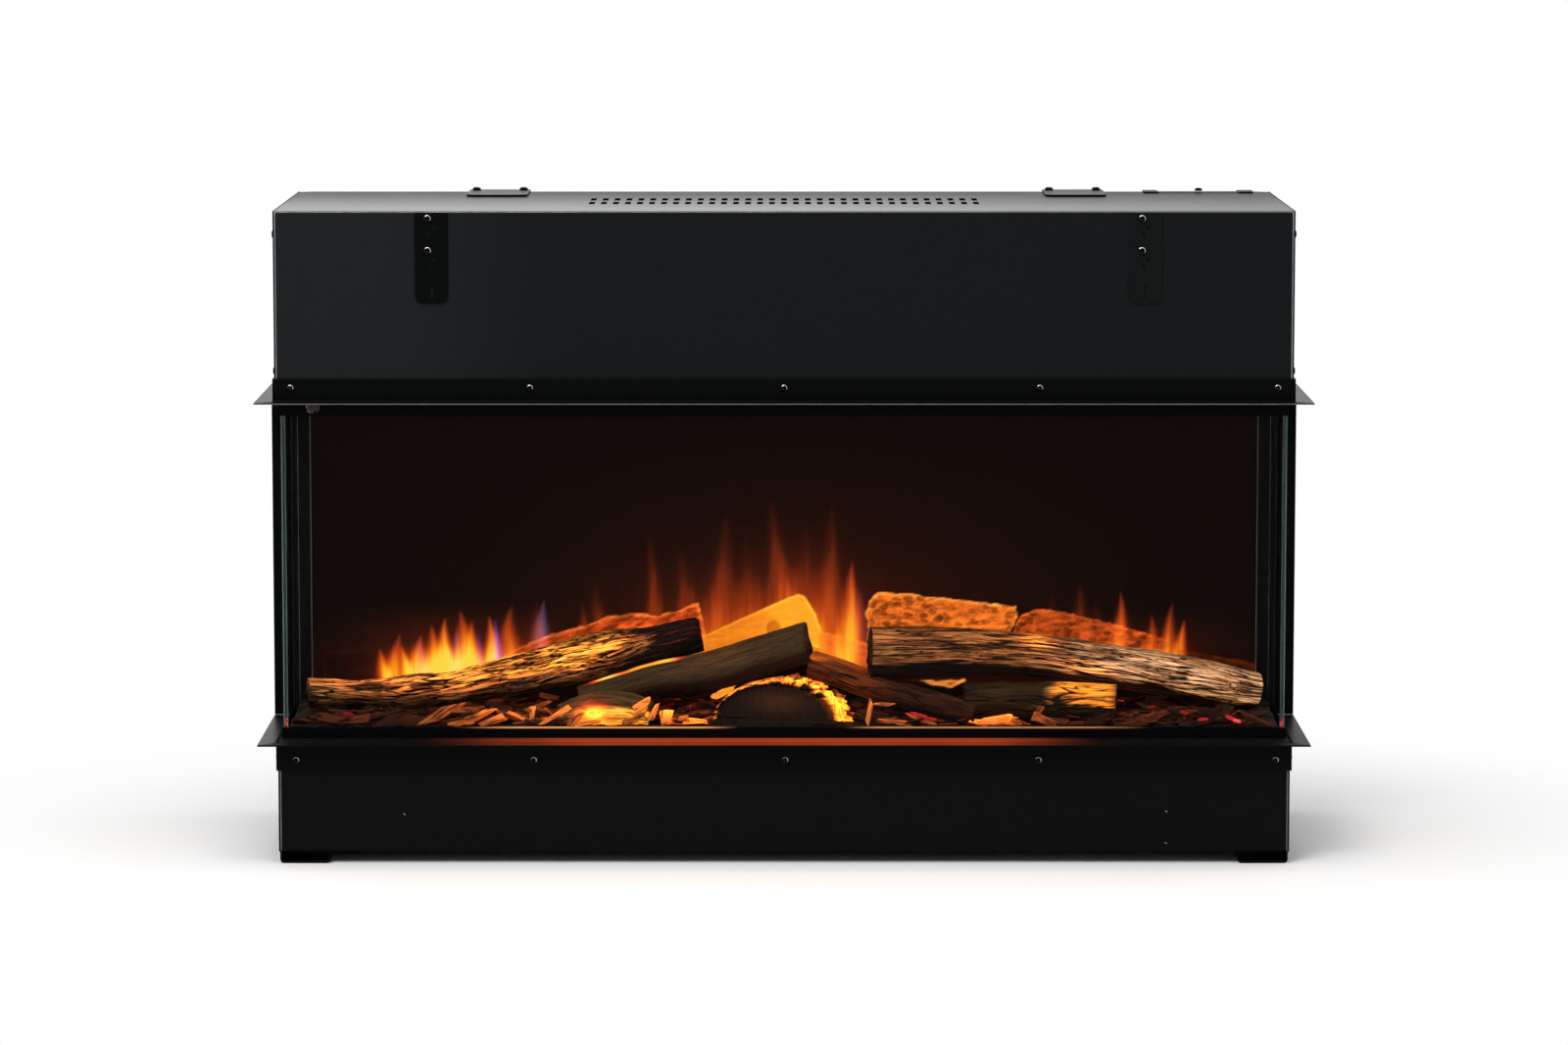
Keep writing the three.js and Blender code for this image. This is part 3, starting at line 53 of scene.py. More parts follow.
# Lengths are metres. The casing front is the plane y = frontY, and z = 0 is the floor.
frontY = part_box("base_pan")[0].y
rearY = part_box("upper_side_left")[1].y
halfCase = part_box("upper_side_right")[1].x
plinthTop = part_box("lower_side_left")[1].z
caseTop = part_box("hood")[1].z
print("frame loaded")


# A screen colour of 0 to 255 turned into the linear light that shaders use
def tint(red, green, blue):
    shares = np.array([red, green, blue]) / 255
    return np.where(shares <= 0.04045, shares / 12.92, ((shares + 0.055) / 1.055) ** 2.4)


# The same as an opaque shader colour, made darker or lighter by a factor
def shade(colour, factor=1.0):
    return (*(tint(*colour) * factor), 1)


def smoothStep(low, high, values):
    share = np.clip((values - low) / (high - low), 0, 1)
    return share * share * (3 - 2 * share)


def bell(values, middle, width):
    return np.exp(-((values - middle) / width) ** 2)


# Sum of bells, each with its height, middle and width
def bells(values, rows):
    return sum(height * bell(values, middle, width) for height, middle, width in rows)


def blendIn(low, high, share):
    return low + (high - low) * share


# Large odd numbers that scramble a lattice point: one for each of its places, and two to mix with
placeFactors = [np.uint32(factor) for factor in (374761393, 668265263, 2147483629)]
mixFactors = [np.uint32(factor) for factor in (1274126177, 2246822519)]


# One random number from 0 to 1 for each corner of a lattice of whole numbers
def cornerValue(i, j, k, seed):
    with np.errstate(over="ignore"):
        mixed = sum(place.astype(np.uint32) * factor for place, factor in zip((i, j, k), placeFactors))
        mixed = mixed + np.uint32(seed * 9781 + 7)
        mixed = (mixed ^ (mixed >> np.uint32(13))) * mixFactors[0]
        mixed = (mixed ^ (mixed >> np.uint32(15))) * mixFactors[1]
    return (mixed ^ (mixed >> np.uint32(16))) / 2.0 ** 32


# Smooth noise from 0 to 1: the eight lattice corners round a point, blended with an eased weight
def softNoise(x, y, z, seed=1):
    floors = [np.floor(values).astype(np.int64) for values in (x, y, z)]
    eased = [smoothStep(0, 1, values - low) for values, low in zip((x, y, z), floors)]
    total = 0
    for corner in range(8):
        steps = [(corner >> axis) & 1 for axis in range(3)]
        weight = 1
        for step, share in zip(steps, eased):
            weight = weight * (share if step else 1 - share)
        total = total + weight * cornerValue(*[low + step for low, step in zip(floors, steps)], seed)
    return total


# Several octaves of that noise, each twice as fine and half as strong as the one before
def layeredNoise(x, y, z, seed=1, octaves=4):
    total, weight = 0, 0
    for octave in range(octaves):
        share, scale = 0.5 ** octave, 2 ** octave
        total = total + share * softNoise(x * scale, y * scale, z * scale, seed + octave)
        weight += share
    return total / weight


# Puts whole arrays into a mesh object. An attribute has one number, or three, for each vertex.
def buildPiece(name, vertices, quads, triangles=(), attributes=None, smooth=True):
    quads = np.asarray(quads, np.int32).reshape(-1, 4)
    triangles = np.asarray(triangles, np.int32).reshape(-1, 3)
    corners = np.concatenate([quads.ravel(), triangles.ravel()])
    starts = np.concatenate([
        np.arange(len(quads)) * 4, len(quads) * 4 + np.arange(len(triangles)) * 3]).astype(np.int32)
    mesh = bpy.data.meshes.new(name)
    mesh.vertices.add(len(vertices))
    mesh.vertices.foreach_set("co", np.asarray(vertices, np.float32).ravel())
    mesh.loops.add(len(corners))
    mesh.loops.foreach_set("vertex_index", corners)
    mesh.polygons.add(len(starts))
    mesh.polygons.foreach_set("loop_start", starts)
    mesh.polygons.foreach_set("use_smooth", np.full(len(starts), smooth))
    mesh.update(calc_edges=True)
    for label, values in (attributes or {}).items():
        values = np.asarray(values, np.float32)
        kind, slot = ("FLOAT", "value") if values.ndim == 1 else ("FLOAT_VECTOR", "vector")
        mesh.attributes.new(label, kind, "POINT").data.foreach_set(slot, values.ravel())
    piece = bpy.data.objects.new(name, mesh)
    scene.collection.objects.link(piece)
    return piece


# Quads between the rows and columns of a grid, whose columns may close on themselves
def gridQuads(rows, columns, closed=False):
    i, j = np.meshgrid(np.arange(rows - 1), np.arange(columns if closed else columns - 1), indexing="ij")
    after = (j + 1) % columns
    quads = [i * columns + j, i * columns + after, (i + 1) * columns + after, (i + 1) * columns + j]
    return np.stack(quads, -1).reshape(-1, 4)


# A closed tube of rings with a point at each end: quads along it and a fan over each end
def tubeFaces(rows, columns):
    ring = np.arange(columns)
    after = (ring + 1) % columns
    start, end, lastRing = rows * columns, rows * columns + 1, (rows - 1) * columns
    startFan = np.stack([np.full(columns, start), after, ring], -1)
    endFan = np.stack([np.full(columns, end), lastRing + ring, lastRing + after], -1)
    return gridQuads(rows, columns, closed=True), np.concatenate([startFan, endFan])


# Gives a piece its finish and its place on the casing, and hides the solid that it stands for
def fit(piece, material, replaces=()):
    piece.data.materials.append(material)
    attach(piece, "casing")
    if replaces:
        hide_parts(*replaces)


# A node socket that Python arithmetic works on: each operator adds a Math node to its tree
class Wire:
    def __init__(self, tree, socket=None):
        self.tree = tree
        self.socket = socket

    # Adds a node: its settings first, then the values or links of its sockets
    def node(self, kind, inputs=None, out=0, stops=(), **settings):
        made = self.tree.nodes.new(kind)
        for key, value in settings.items():
            setattr(made, key, value)
        for place, (position, colour) in enumerate(stops):
            ramp = made.color_ramp.elements
            element = ramp[place] if place < len(ramp) else ramp.new(1)
            element.position = position
            element.color = (*colour, 1)
        for key, value in (inputs or {}).items():
            if isinstance(value, Wire):
                self.tree.links.new(value.socket, made.inputs[key])
            elif value is not None:
                made.inputs[key].default_value = value
        return Wire(self.tree, made.outputs[out])

    def maths(self, operation, *others):
        return self.node("ShaderNodeMath", dict(enumerate((self, *others))), operation=operation)

    def __add__(self, other): return self.maths("ADD", other)
    def __radd__(self, other): return self.maths("ADD", other)
    def __sub__(self, other): return self.maths("SUBTRACT", other)
    def __rsub__(self, other): return self.node("ShaderNodeMath", {0: other, 1: self}, operation="SUBTRACT")
    def __mul__(self, other): return self.maths("MULTIPLY", other)
    def __abs__(self): return self.maths("ABSOLUTE")

    def rise(self, low, high):
        return self.node("ShaderNodeMapRange", {0: self, 1: low, 2: high}, interpolation_type="SMOOTHSTEP")

    # Blends two colours: wires, screen colours of three numbers or shader colours of four
    def mixed(self, *pair):
        one, other = [end if isinstance(end, Wire) or len(end) == 4 else shade(end) for end in pair]
        return self.node("ShaderNodeMix", {0: self, 6: one, 7: other}, out=2, data_type="RGBA")

    def part(self, axis):
        return self.node("ShaderNodeSeparateXYZ", {0: self}, out="XYZ".index(axis))

    def vector(self, operation, other=None, out=0):
        return self.node("ShaderNodeVectorMath", {0: self, 1: other}, out=out, operation=operation)

    def scaled(self, factors):
        return self.vector("MULTIPLY", factors)

    def noise(self, scale, detail=3.0, roughness=0.55):
        return self.node("ShaderNodeTexNoise", {
            "Vector": self, "Scale": scale, "Detail": detail, "Roughness": roughness})

    def cells(self, scale, feature="F1", out=0):
        return self.node("ShaderNodeTexVoronoi", {"Vector": self, "Scale": scale}, out=out, feature=feature)

    def ramp(self, stops):
        return self.node("ShaderNodeValToRGB", {0: self}, stops=stops)


# A material with one Principled shader. The numbers that hold all over it are set on its sockets.
class Finish:
    def __init__(self, name, **sockets):
        self.material = bpy.data.materials.new(name)
        self.material.use_nodes = True
        self.tree = self.material.node_tree
        self.shader = self.tree.nodes["Principled BSDF"]
        self.wires = Wire(self.tree)
        for key, value in sockets.items():
            self.shader.inputs[key].default_value = value
        self.place = self.wires.node("ShaderNodeTexCoord", out=3)

    def reads(self, label, out=2):
        return self.wires.node("ShaderNodeAttribute", out=out, attribute_name=label)

    def vary(self, key, wire):
        self.tree.links.new(wire.socket, self.shader.inputs[key])

    def bump(self, height, distance):
        self.vary("Normal", self.wires.node("ShaderNodeBump", {
            "Height": height, "Distance": distance, "Strength": 1.0}))


# Light that the fire throws on an upward face: within a band of z and of y, and along X over each
# span, which fades in from its first to its second place and out from its third to its fourth
def firelight(coat, light, z, y, spans):
    across, deep, tall = [coat.place.part(axis) for axis in "XYZ"]
    inside = tall.rise(z[0], z[0] + 0.0004) * tall.rise(z[1] + 0.0004, z[1])
    inside = inside * deep.rise(y[0], y[0] + 0.001) * deep.rise(y[1], y[1] - 0.001)
    along = sum(across.rise(start, full) * across.rise(end, last) * amount for start, full, last, end, amount in spans)
    along = along * (coat.place.scaled((16, 1, 1)).noise(1, 3) * 0.7 + 0.65)
    return (along * inside).mixed((0, 0, 0), light)


coatLook = {
    "fleckCells": 900, "flecks": (0.82, 1.2), "patchCells": 9, "patch": 0.06, "peelCells": 620, "peel": 0.00008,
    "bare": (186, 188, 190), "sheen": 0.9, "thinning": (-0.12, 0.54, 0.36),
}


# Powder coat: fine orange peel, faint flecks and slow patches in its gloss. Along each worn fold,
# given by two axes and their places, the coat is rubbed to bare metal that catches the light, and
# this bright line is also a painted highlight of the fold. The sheen is a clear coat on upward faces
# at one level. It falls to a least amount at the rear and thins out a little towards the right.
# Painted light makes the coat lighter from one place in X to another.
def powderCoat(name, colour, roughness, gloss, wornHighlights=(), sheen=None, paintedLight=None, fire=None):
    coat = Finish(name, **{
        "Specular IOR Level": gloss, "Coat Roughness": 0.24, "Emission Strength": 1.0 if fire else 0.0})
    dark, light = [shade(colour, factor) for factor in coatLook["flecks"]]
    paint = coat.place.noise(coatLook["fleckCells"], 2).rise(0.3, 0.75).mixed(dark, light)
    # The lighter end is painted light
    if paintedLight:
        start, end, paintedLightColour = paintedLight
        paint = coat.place.part("X").rise(start, end).mixed(paint, paintedLightColour)
    if fire:
        coat.vary("Emission Color", firelight(coat, **fire))
    patch = coatLook["patch"]
    rough = coat.place.noise(coatLook["patchCells"], 3) * (2 * patch) + (roughness - patch)
    bare = None
    for *edges, reach, wearAndHighlight in wornHighlights:
        near = 1.0
        for axis, place in edges:
            near = abs(coat.place.part(axis) - place).rise(reach, reach * 0.5) * near
        bare = near * wearAndHighlight if bare is None else (near * wearAndHighlight).maths("MAXIMUM", bare)
    # Along the folds the bare metal is painted bright as a highlight
    if wornHighlights:
        bare = bare * (coat.place.noise(70, 3) * 0.8 + 0.5)
        paint = bare.mixed(paint, coatLook["bare"])
        coat.vary("Metallic", bare.rise(0.05, 0.7))
        rough = rough * (1 - bare * 0.45)
    if sheen:
        least, level = sheen
        most, (start, end, lost) = coatLook["sheen"], coatLook["thinning"]
        along = coat.place.part("Y").rise(frontY, rearY) * (least - most) + most
        across = 1 - coat.place.part("X").rise(start, end) * lost
        facing = coat.wires.node("ShaderNodeTexCoord", out=1).part("Z").rise(0.5, 0.8)
        top = coat.place.part("Z").rise(level - 0.0012, level - 0.0006)
        coat.vary("Coat Weight", top * facing * across * along)
    coat.vary("Base Color", paint)
    coat.vary("Roughness", rough)
    coat.bump(coat.place.noise(coatLook["peelCells"], 2), coatLook["peel"])
    return coat.material


# Plain materials: roughness and relief follow a fine grain, given by its cells per metre along
# each axis and its octaves. The colour follows the grain too, or patches where there are any.
plainFinishes = {
    "blackPlastic": {
        "slot": "black_plastic", "grain": (1100, 1100, 1100), "octaves": 2, "patches": (30, 2),
        "tones": ((23.4, 23.4, 25.2), (28.4, 28.4, 30.5)), "rough": (0.12, 0.39), "relief": 0.00005, "gloss": 0.4},
    "smokedLens": {
        "slot": "smoked_lens", "grain": (500, 500, 500), "octaves": 1, "patches": (160, 2),
        "tones": ((12, 5, 9), (34, 16, 26)), "rough": (0.0, 0.12), "relief": 0.00001, "gloss": 0.22},
    "frostedDiffuser": {
        "slot": "diffuser_acrylic", "grain": (700, 700, 700), "octaves": 3,
        "tones": ((206, 203, 196), (224, 222, 216)), "rough": (0.1, 0.55), "relief": 0.00003, "gloss": 0.3},
    "polishedAluminium": {
        "slot": "polished_aluminium", "grain": (20, 1600, 1600), "octaves": 4, "metallic": 1.0,
        "tones": ((205, 207, 210), (232, 233, 235)), "rough": (0.16, 0.14), "relief": 0.00002},
    "motorPaint": {
        "slot": "motor_paint", "grain": (900, 60, 60), "octaves": 3, "metallic": 0.35,
        "tones": ((52, 54, 57), (72, 75, 79)), "rough": (0.15, 0.38), "relief": 0.00005},
}


def plainFinish(name, spec):
    plain = Finish(name, Metallic=spec.get("metallic", 0.0), **{"Specular IOR Level": spec.get("gloss", 0.5)})
    grain = plain.place.scaled(spec["grain"]).noise(1, spec["octaves"])
    colouring = plain.place.noise(*spec["patches"]) if "patches" in spec else grain
    plain.vary("Base Color", colouring.mixed(*spec["tones"]))
    plain.vary("Roughness", grain * spec["rough"][0] + spec["rough"][1])
    plain.bump(grain, spec["relief"])
    return plain.material


# Galvanised sheet: large crystals that differ in brightness and in gloss
def zincSheet():
    zinc = Finish("zincSheet", Metallic=1.0)
    spangle = zinc.place.cells(90, out=1).part("X")
    streak = zinc.place.scaled((40, 400, 400)).noise(1, 3)
    zinc.vary("Base Color", (spangle * 0.6 + streak * 0.4).mixed((150, 153, 156), (196, 199, 202)))
    zinc.vary("Roughness", spangle * 0.18 + 0.3)
    zinc.bump(streak, 0.00004)
    return zinc.material


# Circuit board: green lacquer over copper tracks, with bright pads
def circuitBoard():
    board = Finish("circuitBoard", Roughness=0.35)
    tracks = board.place.scaled((150, 150, 1)).cells(1, "DISTANCE_TO_EDGE").rise(0.06, 0.02)
    pads = board.place.cells(260).rise(0.16, 0.12)
    board.vary("Base Color", pads.mixed(tracks.mixed((22, 74, 40), (44, 108, 58)), (190, 192, 188)))
    board.vary("Metallic", pads)
    board.bump(tracks, 0.00008)
    return board.material


# The ember here is a painted reflection of the embers in the side panes' edges
glassLook = {
    "body": (6, 9, 9), "edge": (112, 164, 160), "smear": 0.008, "ember": (206, 44, 24),
    "emberReflectionHeight": 0.139, "emberReflectionReach": 0.008,
}


# Clear glass: faint smears on the faces, and polished edges that hide what is behind. Across the
# thickness of an edge run a bright green line at the outer face and a dimmer one at the inner
# face, painted highlights on the edge; an edge that lies deep in the case shows the dimmer line
# only. A glinting pane shows a painted reflection of a small ember low in its open edges.
def clearGlass(name, edgeAxis, openEdges, deepEdges, acrossAxis, outer, inner, brightness=1.0, glints=False):
    glass = Finish(name, **{"Roughness": 0.04, "Emission Strength": 1.0 if glints else 0.0})

    def along(places):
        return sum(abs(glass.place.part(edgeAxis) - place).rise(0.0006, 0.0002) for place in places)

    bright, dim = [abs(abs(glass.place.part(acrossAxis)) - face).rise(0.0009, 0.0003) for face in (outer, inner)]
    smear = glass.place.scaled((7, 7, 22)).noise(1, 4).rise(0.5, 0.8)
    hiding, shine = along(openEdges) * 0.85, along(openEdges) * bright.maths("MAXIMUM", dim * 0.4)
    if deepEdges:
        hiding, shine = hiding + along(deepEdges) * dim * 0.7, shine + along(deepEdges) * dim * 0.3
    glass.vary("Base Color", shine.mixed(glassLook["body"], shade(glassLook["edge"], brightness)))
    # A painted reflection of the embers, low in the open edges
    if glints:
        reach = glassLook["emberReflectionReach"]
        ember = abs(glass.place.part("Z") - glassLook["emberReflectionHeight"]).rise(reach, reach * 0.2) * along(openEdges)
        mottle = glass.place.noise(420, 2).rise(0.42, 0.6)
        glass.vary("Emission Color", (ember * mottle).mixed((0, 0, 0), glassLook["ember"]))
    glass.vary("Alpha", hiding + smear * glassLook["smear"] + glassLook["smear"])
    return glass.material


finishes = {
    "casing_paint": powderCoat("casingPaint", (20, 22, 24), 0.46, 0.03),
    "plinth_paint": powderCoat("plinthPaint", (12, 12, 12), 0.5, 0.03),
    "trim_paint": powderCoat("trimPaint", (5, 6, 6), 0.46, 0.02),
    "bracket_paint": powderCoat("bracketPaint", (5, 7, 6), 0.42, 0.03),
    "zinc_sheet": zincSheet(),
    "circuit_board": circuitBoard(),
    **{spec["slot"]: plainFinish(name, spec) for name, spec in plainFinishes.items()},
}


def paintNode(name, material):
    nodes[name].data.materials.clear()
    nodes[name].data.materials.append(material)


for entry in frame["record"]["subparts"]:
    if entry["material_slot"] in finishes:
        paintNode(entry["node"], finishes[entry["material_slot"]])

hoodSide = halfCase - 0.0021
panLow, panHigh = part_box("fire_pan")
shelfLow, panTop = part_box("lower_trim_front")[0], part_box("base_pan")[1].z
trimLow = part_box("upper_trim_front")[0]
shelfGlow = {"light": (160, 56, 20), "z": (panTop - 0.0006, panTop)}


# A worn fold along the casing front, whose bare line is a painted highlight, by the other axis and
# place that it lies at
def frontFold(axis, place, reach, wearAndHighlight):
    return ("Y", frontY), (axis, place), reach, wearAndHighlight


# Nodes with a coat of their own: colour, roughness and gloss, then folds that show as light lines
# of painted highlight, sheen, a painted lighter end and firelight. The shelf before the pane takes a
# red-brown light from the fire. The pan's lip takes a thin orange line along its top, which the half
# log shades in the middle.
coats = {
    # The hood's left end is painted lighter, as painted light
    "hood": ((20, 22, 24), 0.46, 0.03, {
        "sheen": (0.18, caseTop), "paintedLight": (-0.22, -0.42, (28, 30, 32)), "wornHighlights": (
            frontFold("Z", caseTop, 0.0012, 0.8), frontFold("X", -hoodSide, 0.0008, 0.5),
            frontFold("X", hoodSide, 0.0008, 0.55))}),
    "front_strap_right": ((17, 20, 20), 0.42, 0.03, {}),
    "base_pan": ((12, 12, 12), 0.5, 0.03, {
        "fire": {**shelfGlow, "y": (frontY - 0.001, frontY + 0.06), "spans": ((-0.38, -0.18, 0.18, 0.33, 1.0),)},
        "wornHighlights": (frontFold("X", -hoodSide, 0.0011, 0.3), frontFold("X", hoodSide, 0.0011, 0.3))}),
    "lower_trim_front": ((8, 9, 9), 0.42, 0.025, {
        "fire": {**shelfGlow, "y": (shelfLow.y + 0.001, frontY), "spans": ((-0.38, -0.18, 0.18, 0.33, 0.75),)}}),
    "fire_pan": ((6, 6, 6), 0.42, 0.025, {"fire": {
        "light": (255, 168, 96), "z": (panHigh.z - 0.0007, panHigh.z), "y": (panLow.y - 0.001, frontY + 0.04),
        "spans": ((-0.34, -0.26, -0.09, -0.045, 1.0), (0.06, 0.1, 0.3, 0.38, 0.62))}}),
    "upper_trim_front": ((5, 6, 6), 0.42, 0.03, {
        "wornHighlights": ((("Y", trimLow.y), ("Z", trimLow.z), 0.0016, 0.22),)}),
    "upper_trim_left": ((7, 8, 8), 0.34, 0.2, {}),
    "upper_trim_right": ((7, 8, 8), 0.34, 0.12, {}),
    "lower_trim_left": ((7, 8, 8), 0.34, 0.11, {}),
    "lower_trim_right": ((7, 8, 8), 0.34, 0.03, {}),
}
# The cover's well lies in a notch of the hood and stays dark; its two ears shine
for name, lift in (("top_bracket_left", 0), ("top_bracket_right", 0), ("terminal_cover", 0.0022)):
    coats[name] = ((20, 22, 24), 0.46, 0.03, {"sheen": (0.3, caseTop + lift)})
# The inner front edges of the screen posts are bare lines that are painted highlights
for side, name in ((-1, "screen_post_left"), (1, "screen_post_right")):
    low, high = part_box(name)
    inner = side * min(abs(low.x), abs(high.x))
    coats[name] = ((9, 9, 8), 0.46, 0.03, {"wornHighlights": ((("Y", low.y), ("X", inner), 0.0011, 0.2),)})
for name, (colour, roughness, gloss, extras) in coats.items():
    paintNode(name, powderCoat(name + "Paint", colour, roughness, gloss, **extras))

frontPane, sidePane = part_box("front_glass"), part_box("side_glass_left")
paintNode("front_glass", clearGlass(
    "frontPane", "X", (frontPane[0].x, frontPane[1].x), (), "Y", abs(frontPane[0].y), abs(frontPane[1].y)))
# The right pane's edge lines are painted at half brightness, as painted shade
for name, brightness in (("side_glass_left", 1.0), ("side_glass_right", 0.5)):
    paintNode(name, clearGlass(
        name + "Clear", "Y", (sidePane[0].y,), (sidePane[1].y,), "X", abs(sidePane[0].x), abs(sidePane[1].x),
        brightness, glints=True))
print("casing finishes assigned")


screwForm = {
    "rings": 11, "sides": 28, "crossWidth": (0.17, 0.1), "crossLength": (0.6, 0.48), "crossDepth": 0.62,
    "fall": 0.55, "sunk": -0.0002, "shoulder": (0.74, 0.085), "crossRim": (0.3, 0.09),
}


# Points over the head of a pan screw: radius r and angle a, with a height that falls as the fourth
# power of r to the rim, and a cross cut into its middle
def screwHead(radius, height, turn):
    out = np.concatenate([np.linspace(0.06, 0.95, screwForm["rings"]), [1, 1]])[:, None]
    a = np.linspace(0, 2 * np.pi, screwForm["sides"], endpoint=False)[None, :]
    x, y = out * np.cos(a), out * np.sin(a)
    slot = np.maximum(*[
        smoothStep(*screwForm["crossWidth"], np.abs(one)) * smoothStep(*screwForm["crossLength"], np.abs(other))
        for one, other in ((x, y), (y, x))])
    z = height * (1 - screwForm["fall"] * out ** 4 - screwForm["crossDepth"] * slot)
    z[-1] = screwForm["sunk"]
    x, y = radius * x, radius * y
    points = np.stack([x * math.cos(turn) - y * math.sin(turn), x * math.sin(turn) + y * math.cos(turn), z], -1)
    ends = [[0, 0, 0.38 * height], [0, 0, screwForm["sunk"]]]
    # The blacking is worn off in a thin ring round the shoulder and at the far edge of the cross, and
    # the ring is brightest on one side of the head as a painted highlight
    wearAndHighlight = bell(out, *screwForm["shoulder"]) * (0.4 + 0.6 * smoothStep(0.5, -0.6, np.sin(a + turn + 0.6)))
    wearAndHighlight = wearAndHighlight + 0.5 * bell(out, *screwForm["crossRim"]) * smoothStep(0.4, 0.9, np.sin(a + turn + 0.5))
    quads, triangles = tubeFaces(len(out), screwForm["sides"])
    vertices = np.concatenate([points.reshape(-1, 3), ends])
    return vertices, quads[:, ::-1], triangles[:, ::-1], np.append(wearAndHighlight.ravel(), (0, 0))


# Blacked steel, bright where the blacking is worn and where the head's highlight is painted
def blackedSteel():
    steel = Finish("blackedSteel", Metallic=1.0)
    scuff = steel.place.noise(900, 3)
    wearAndHighlight = steel.reads("wearAndHighlight") * (scuff + 0.5)
    steel.vary("Base Color", wearAndHighlight.rise(0.25, 0.85).mixed((10, 11, 11), (186, 188, 188)))
    steel.vary("Roughness", scuff * 0.12 + 0.16)
    steel.bump(scuff, 0.00003)
    return steel.material


screwMetal = blackedSteel()


# Screws in one piece. Each has its place in millimetres, the way it faces, its radius and height.
def makeScrews(name, screws):
    heads, first = [], 0
    chance = np.random.default_rng(len(name))
    for place, facing, radius, height in screws:
        points, quads, triangles, wearAndHighlight = screwHead(radius / 1000, height / 1000, chance.uniform(0, 1.5))
        facing = np.array(facing, float)
        side = np.cross(facing, [0, 0, 1.0] if abs(facing[2]) < 0.5 else [0, 1.0, 0])
        turned = points @ np.stack([side, np.cross(facing, side), facing]) + np.array(place) / 1000
        heads.append((turned, quads + first, triangles + first, wearAndHighlight))
        first += len(points)
    vertices, quads, triangles, wearAndHighlight = [np.concatenate(parts) for parts in zip(*heads)]
    fit(buildPiece(name, vertices, quads, triangles, {"wearAndHighlight": wearAndHighlight}), screwMetal)


# The faces that screws stand on, in millimetres
front, rear, side = 1000 * frontY, 1000 * rearY, 1000 * halfCase
sheet, ways = front - 1.8, (-1, 1)
facingFront, facingUpward = (0, -1, 0), (0, 0, 1)
bracketTop, coverTop = [1000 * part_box(name)[1].z for name in ("top_bracket_left", "terminal_cover")]

makeScrews("trimScrews", [
    ((x, sheet, z), facingFront, 3.9, 2.2)
    for z, row in ((489, (-501, -258, 0, 259.5, 501)), (107.2, (-499, -256, 1, 260, 502.5))) for x in row])
makeScrews("strapScrews", [((x, sheet, z), facingFront, 4.3, 2.4) for x in (-360.8, 362.2) for z in (661, 628.5)])
makeScrews("bracketScrews", [
    *[((x, rear - 10, bracketTop), facingUpward, 4.5, 3.2) for x in (-327, -277, 282, 332)],
    ((441, rear - 12, coverTop), facingUpward, 4, 3)])
makeScrews("sideScrews", [
    *[((way * side, y, z), (way, 0, 0), 4.2, 2.8) for way in ways for y in (-132, 10, 150) for z in (644, 504.7)],
    *[((way * (side + 1.8), y, z), (way, 0, 0), 3.6, 2) for way in ways for y in (-132, -60, 18) for z in (489, 107)]])
makeScrews("plinthRivets", [
    ((x, front, z), facingFront, 1.6, 0.7) for x, z in ((-389, 50), (391, 53), (391, 20))])
print("screws built")


view = {"distance": 5.835, "height": 1.052, "pitchDown": 6.847, "lens": 132.57, "sensor": 36}

cameraData = bpy.data.cameras.new("camera")
cameraData.lens = view["lens"]
cameraData.sensor_width = view["sensor"]
cameraData.clip_end = 200
camera = bpy.data.objects.new("camera", cameraData)
camera.location = (0, frontY - view["distance"], view["height"])
camera.rotation_euler = (math.radians(90 - view["pitchDown"]), 0, 0)
scene.collection.objects.link(camera)
scene.camera = camera

floorLook = {"half": 45.0, "steps": 24, "colour": 0.95, "whiteFrom": 0.34, "whiteTo": 0.86, "skyLight": 0.36}


# One for rays from the camera, off gloss and through glass, and nothing for the light of the room
def seenDirectly(wires):
    path = wires.node("ShaderNodeLightPath").socket.node.outputs
    kinds = ("Is Camera Ray", "Is Glossy Ray", "Is Transmission Ray")
    return sum(Wire(wires.tree, path[kind]) for kind in kinds).maths("MINIMUM", 1.0)


# Shows one shader in place of another by a share from 0 to 1, on the output of a material or world
def showBlend(wires, share, plain, bright, output):
    blend = wires.node("ShaderNodeMixShader", {0: share, 1: plain, 2: bright})
    wires.tree.links.new(blend.socket, wires.tree.nodes[output].inputs["Surface"])


# The floor is a flat grid whose lines crowd towards the middle, as the cube of a number from -1 to 1
def makeFloor():
    line = np.linspace(-1, 1, floorLook["steps"] + 1) ** 3 * floorLook["half"]
    x, y = np.meshgrid(line, line, indexing="ij")
    points = np.stack([x, y, np.full_like(x, -0.0002)], -1).reshape(-1, 3)
    floor = buildPiece("floor", points, gridQuads(len(line), len(line)))
    paper = Finish("paleFloor", Roughness=0.9, **{"Specular IOR Level": 0.05})
    light, dark = [(grey, grey, grey, 1) for grey in (floorLook["colour"], floorLook["colour"] - 0.01)]
    paper.vary("Base Color", paper.place.noise(3, 2).mixed(dark, light))
    # Far from the object the floor is plain white to the camera and in reflections
    away = paper.place.scaled((0.72, 1, 1)).vector("LENGTH", out=1)
    share = away.rise(floorLook["whiteFrom"], floorLook["whiteTo"]) * seenDirectly(paper.wires)
    white = paper.wires.node("ShaderNodeEmission", {"Color": (1, 1, 1, 1), "Strength": 1.0})
    showBlend(paper.wires, share, Wire(paper.tree, paper.shader.outputs[0]), white, "Material Output")
    floor.data.materials.append(paper.material)


makeFloor()

world = bpy.data.worlds.new("world")
world.use_nodes = True
scene.world = world
sky = Wire(world.node_tree)
plain, bright = [sky.node("ShaderNodeBackground", {"Color": (1, 1, 1, 1), "Strength": strength})
                 for strength in (floorLook["skyLight"], 1.0)]
showBlend(sky, seenDirectly(sky), plain, bright, "World Output")

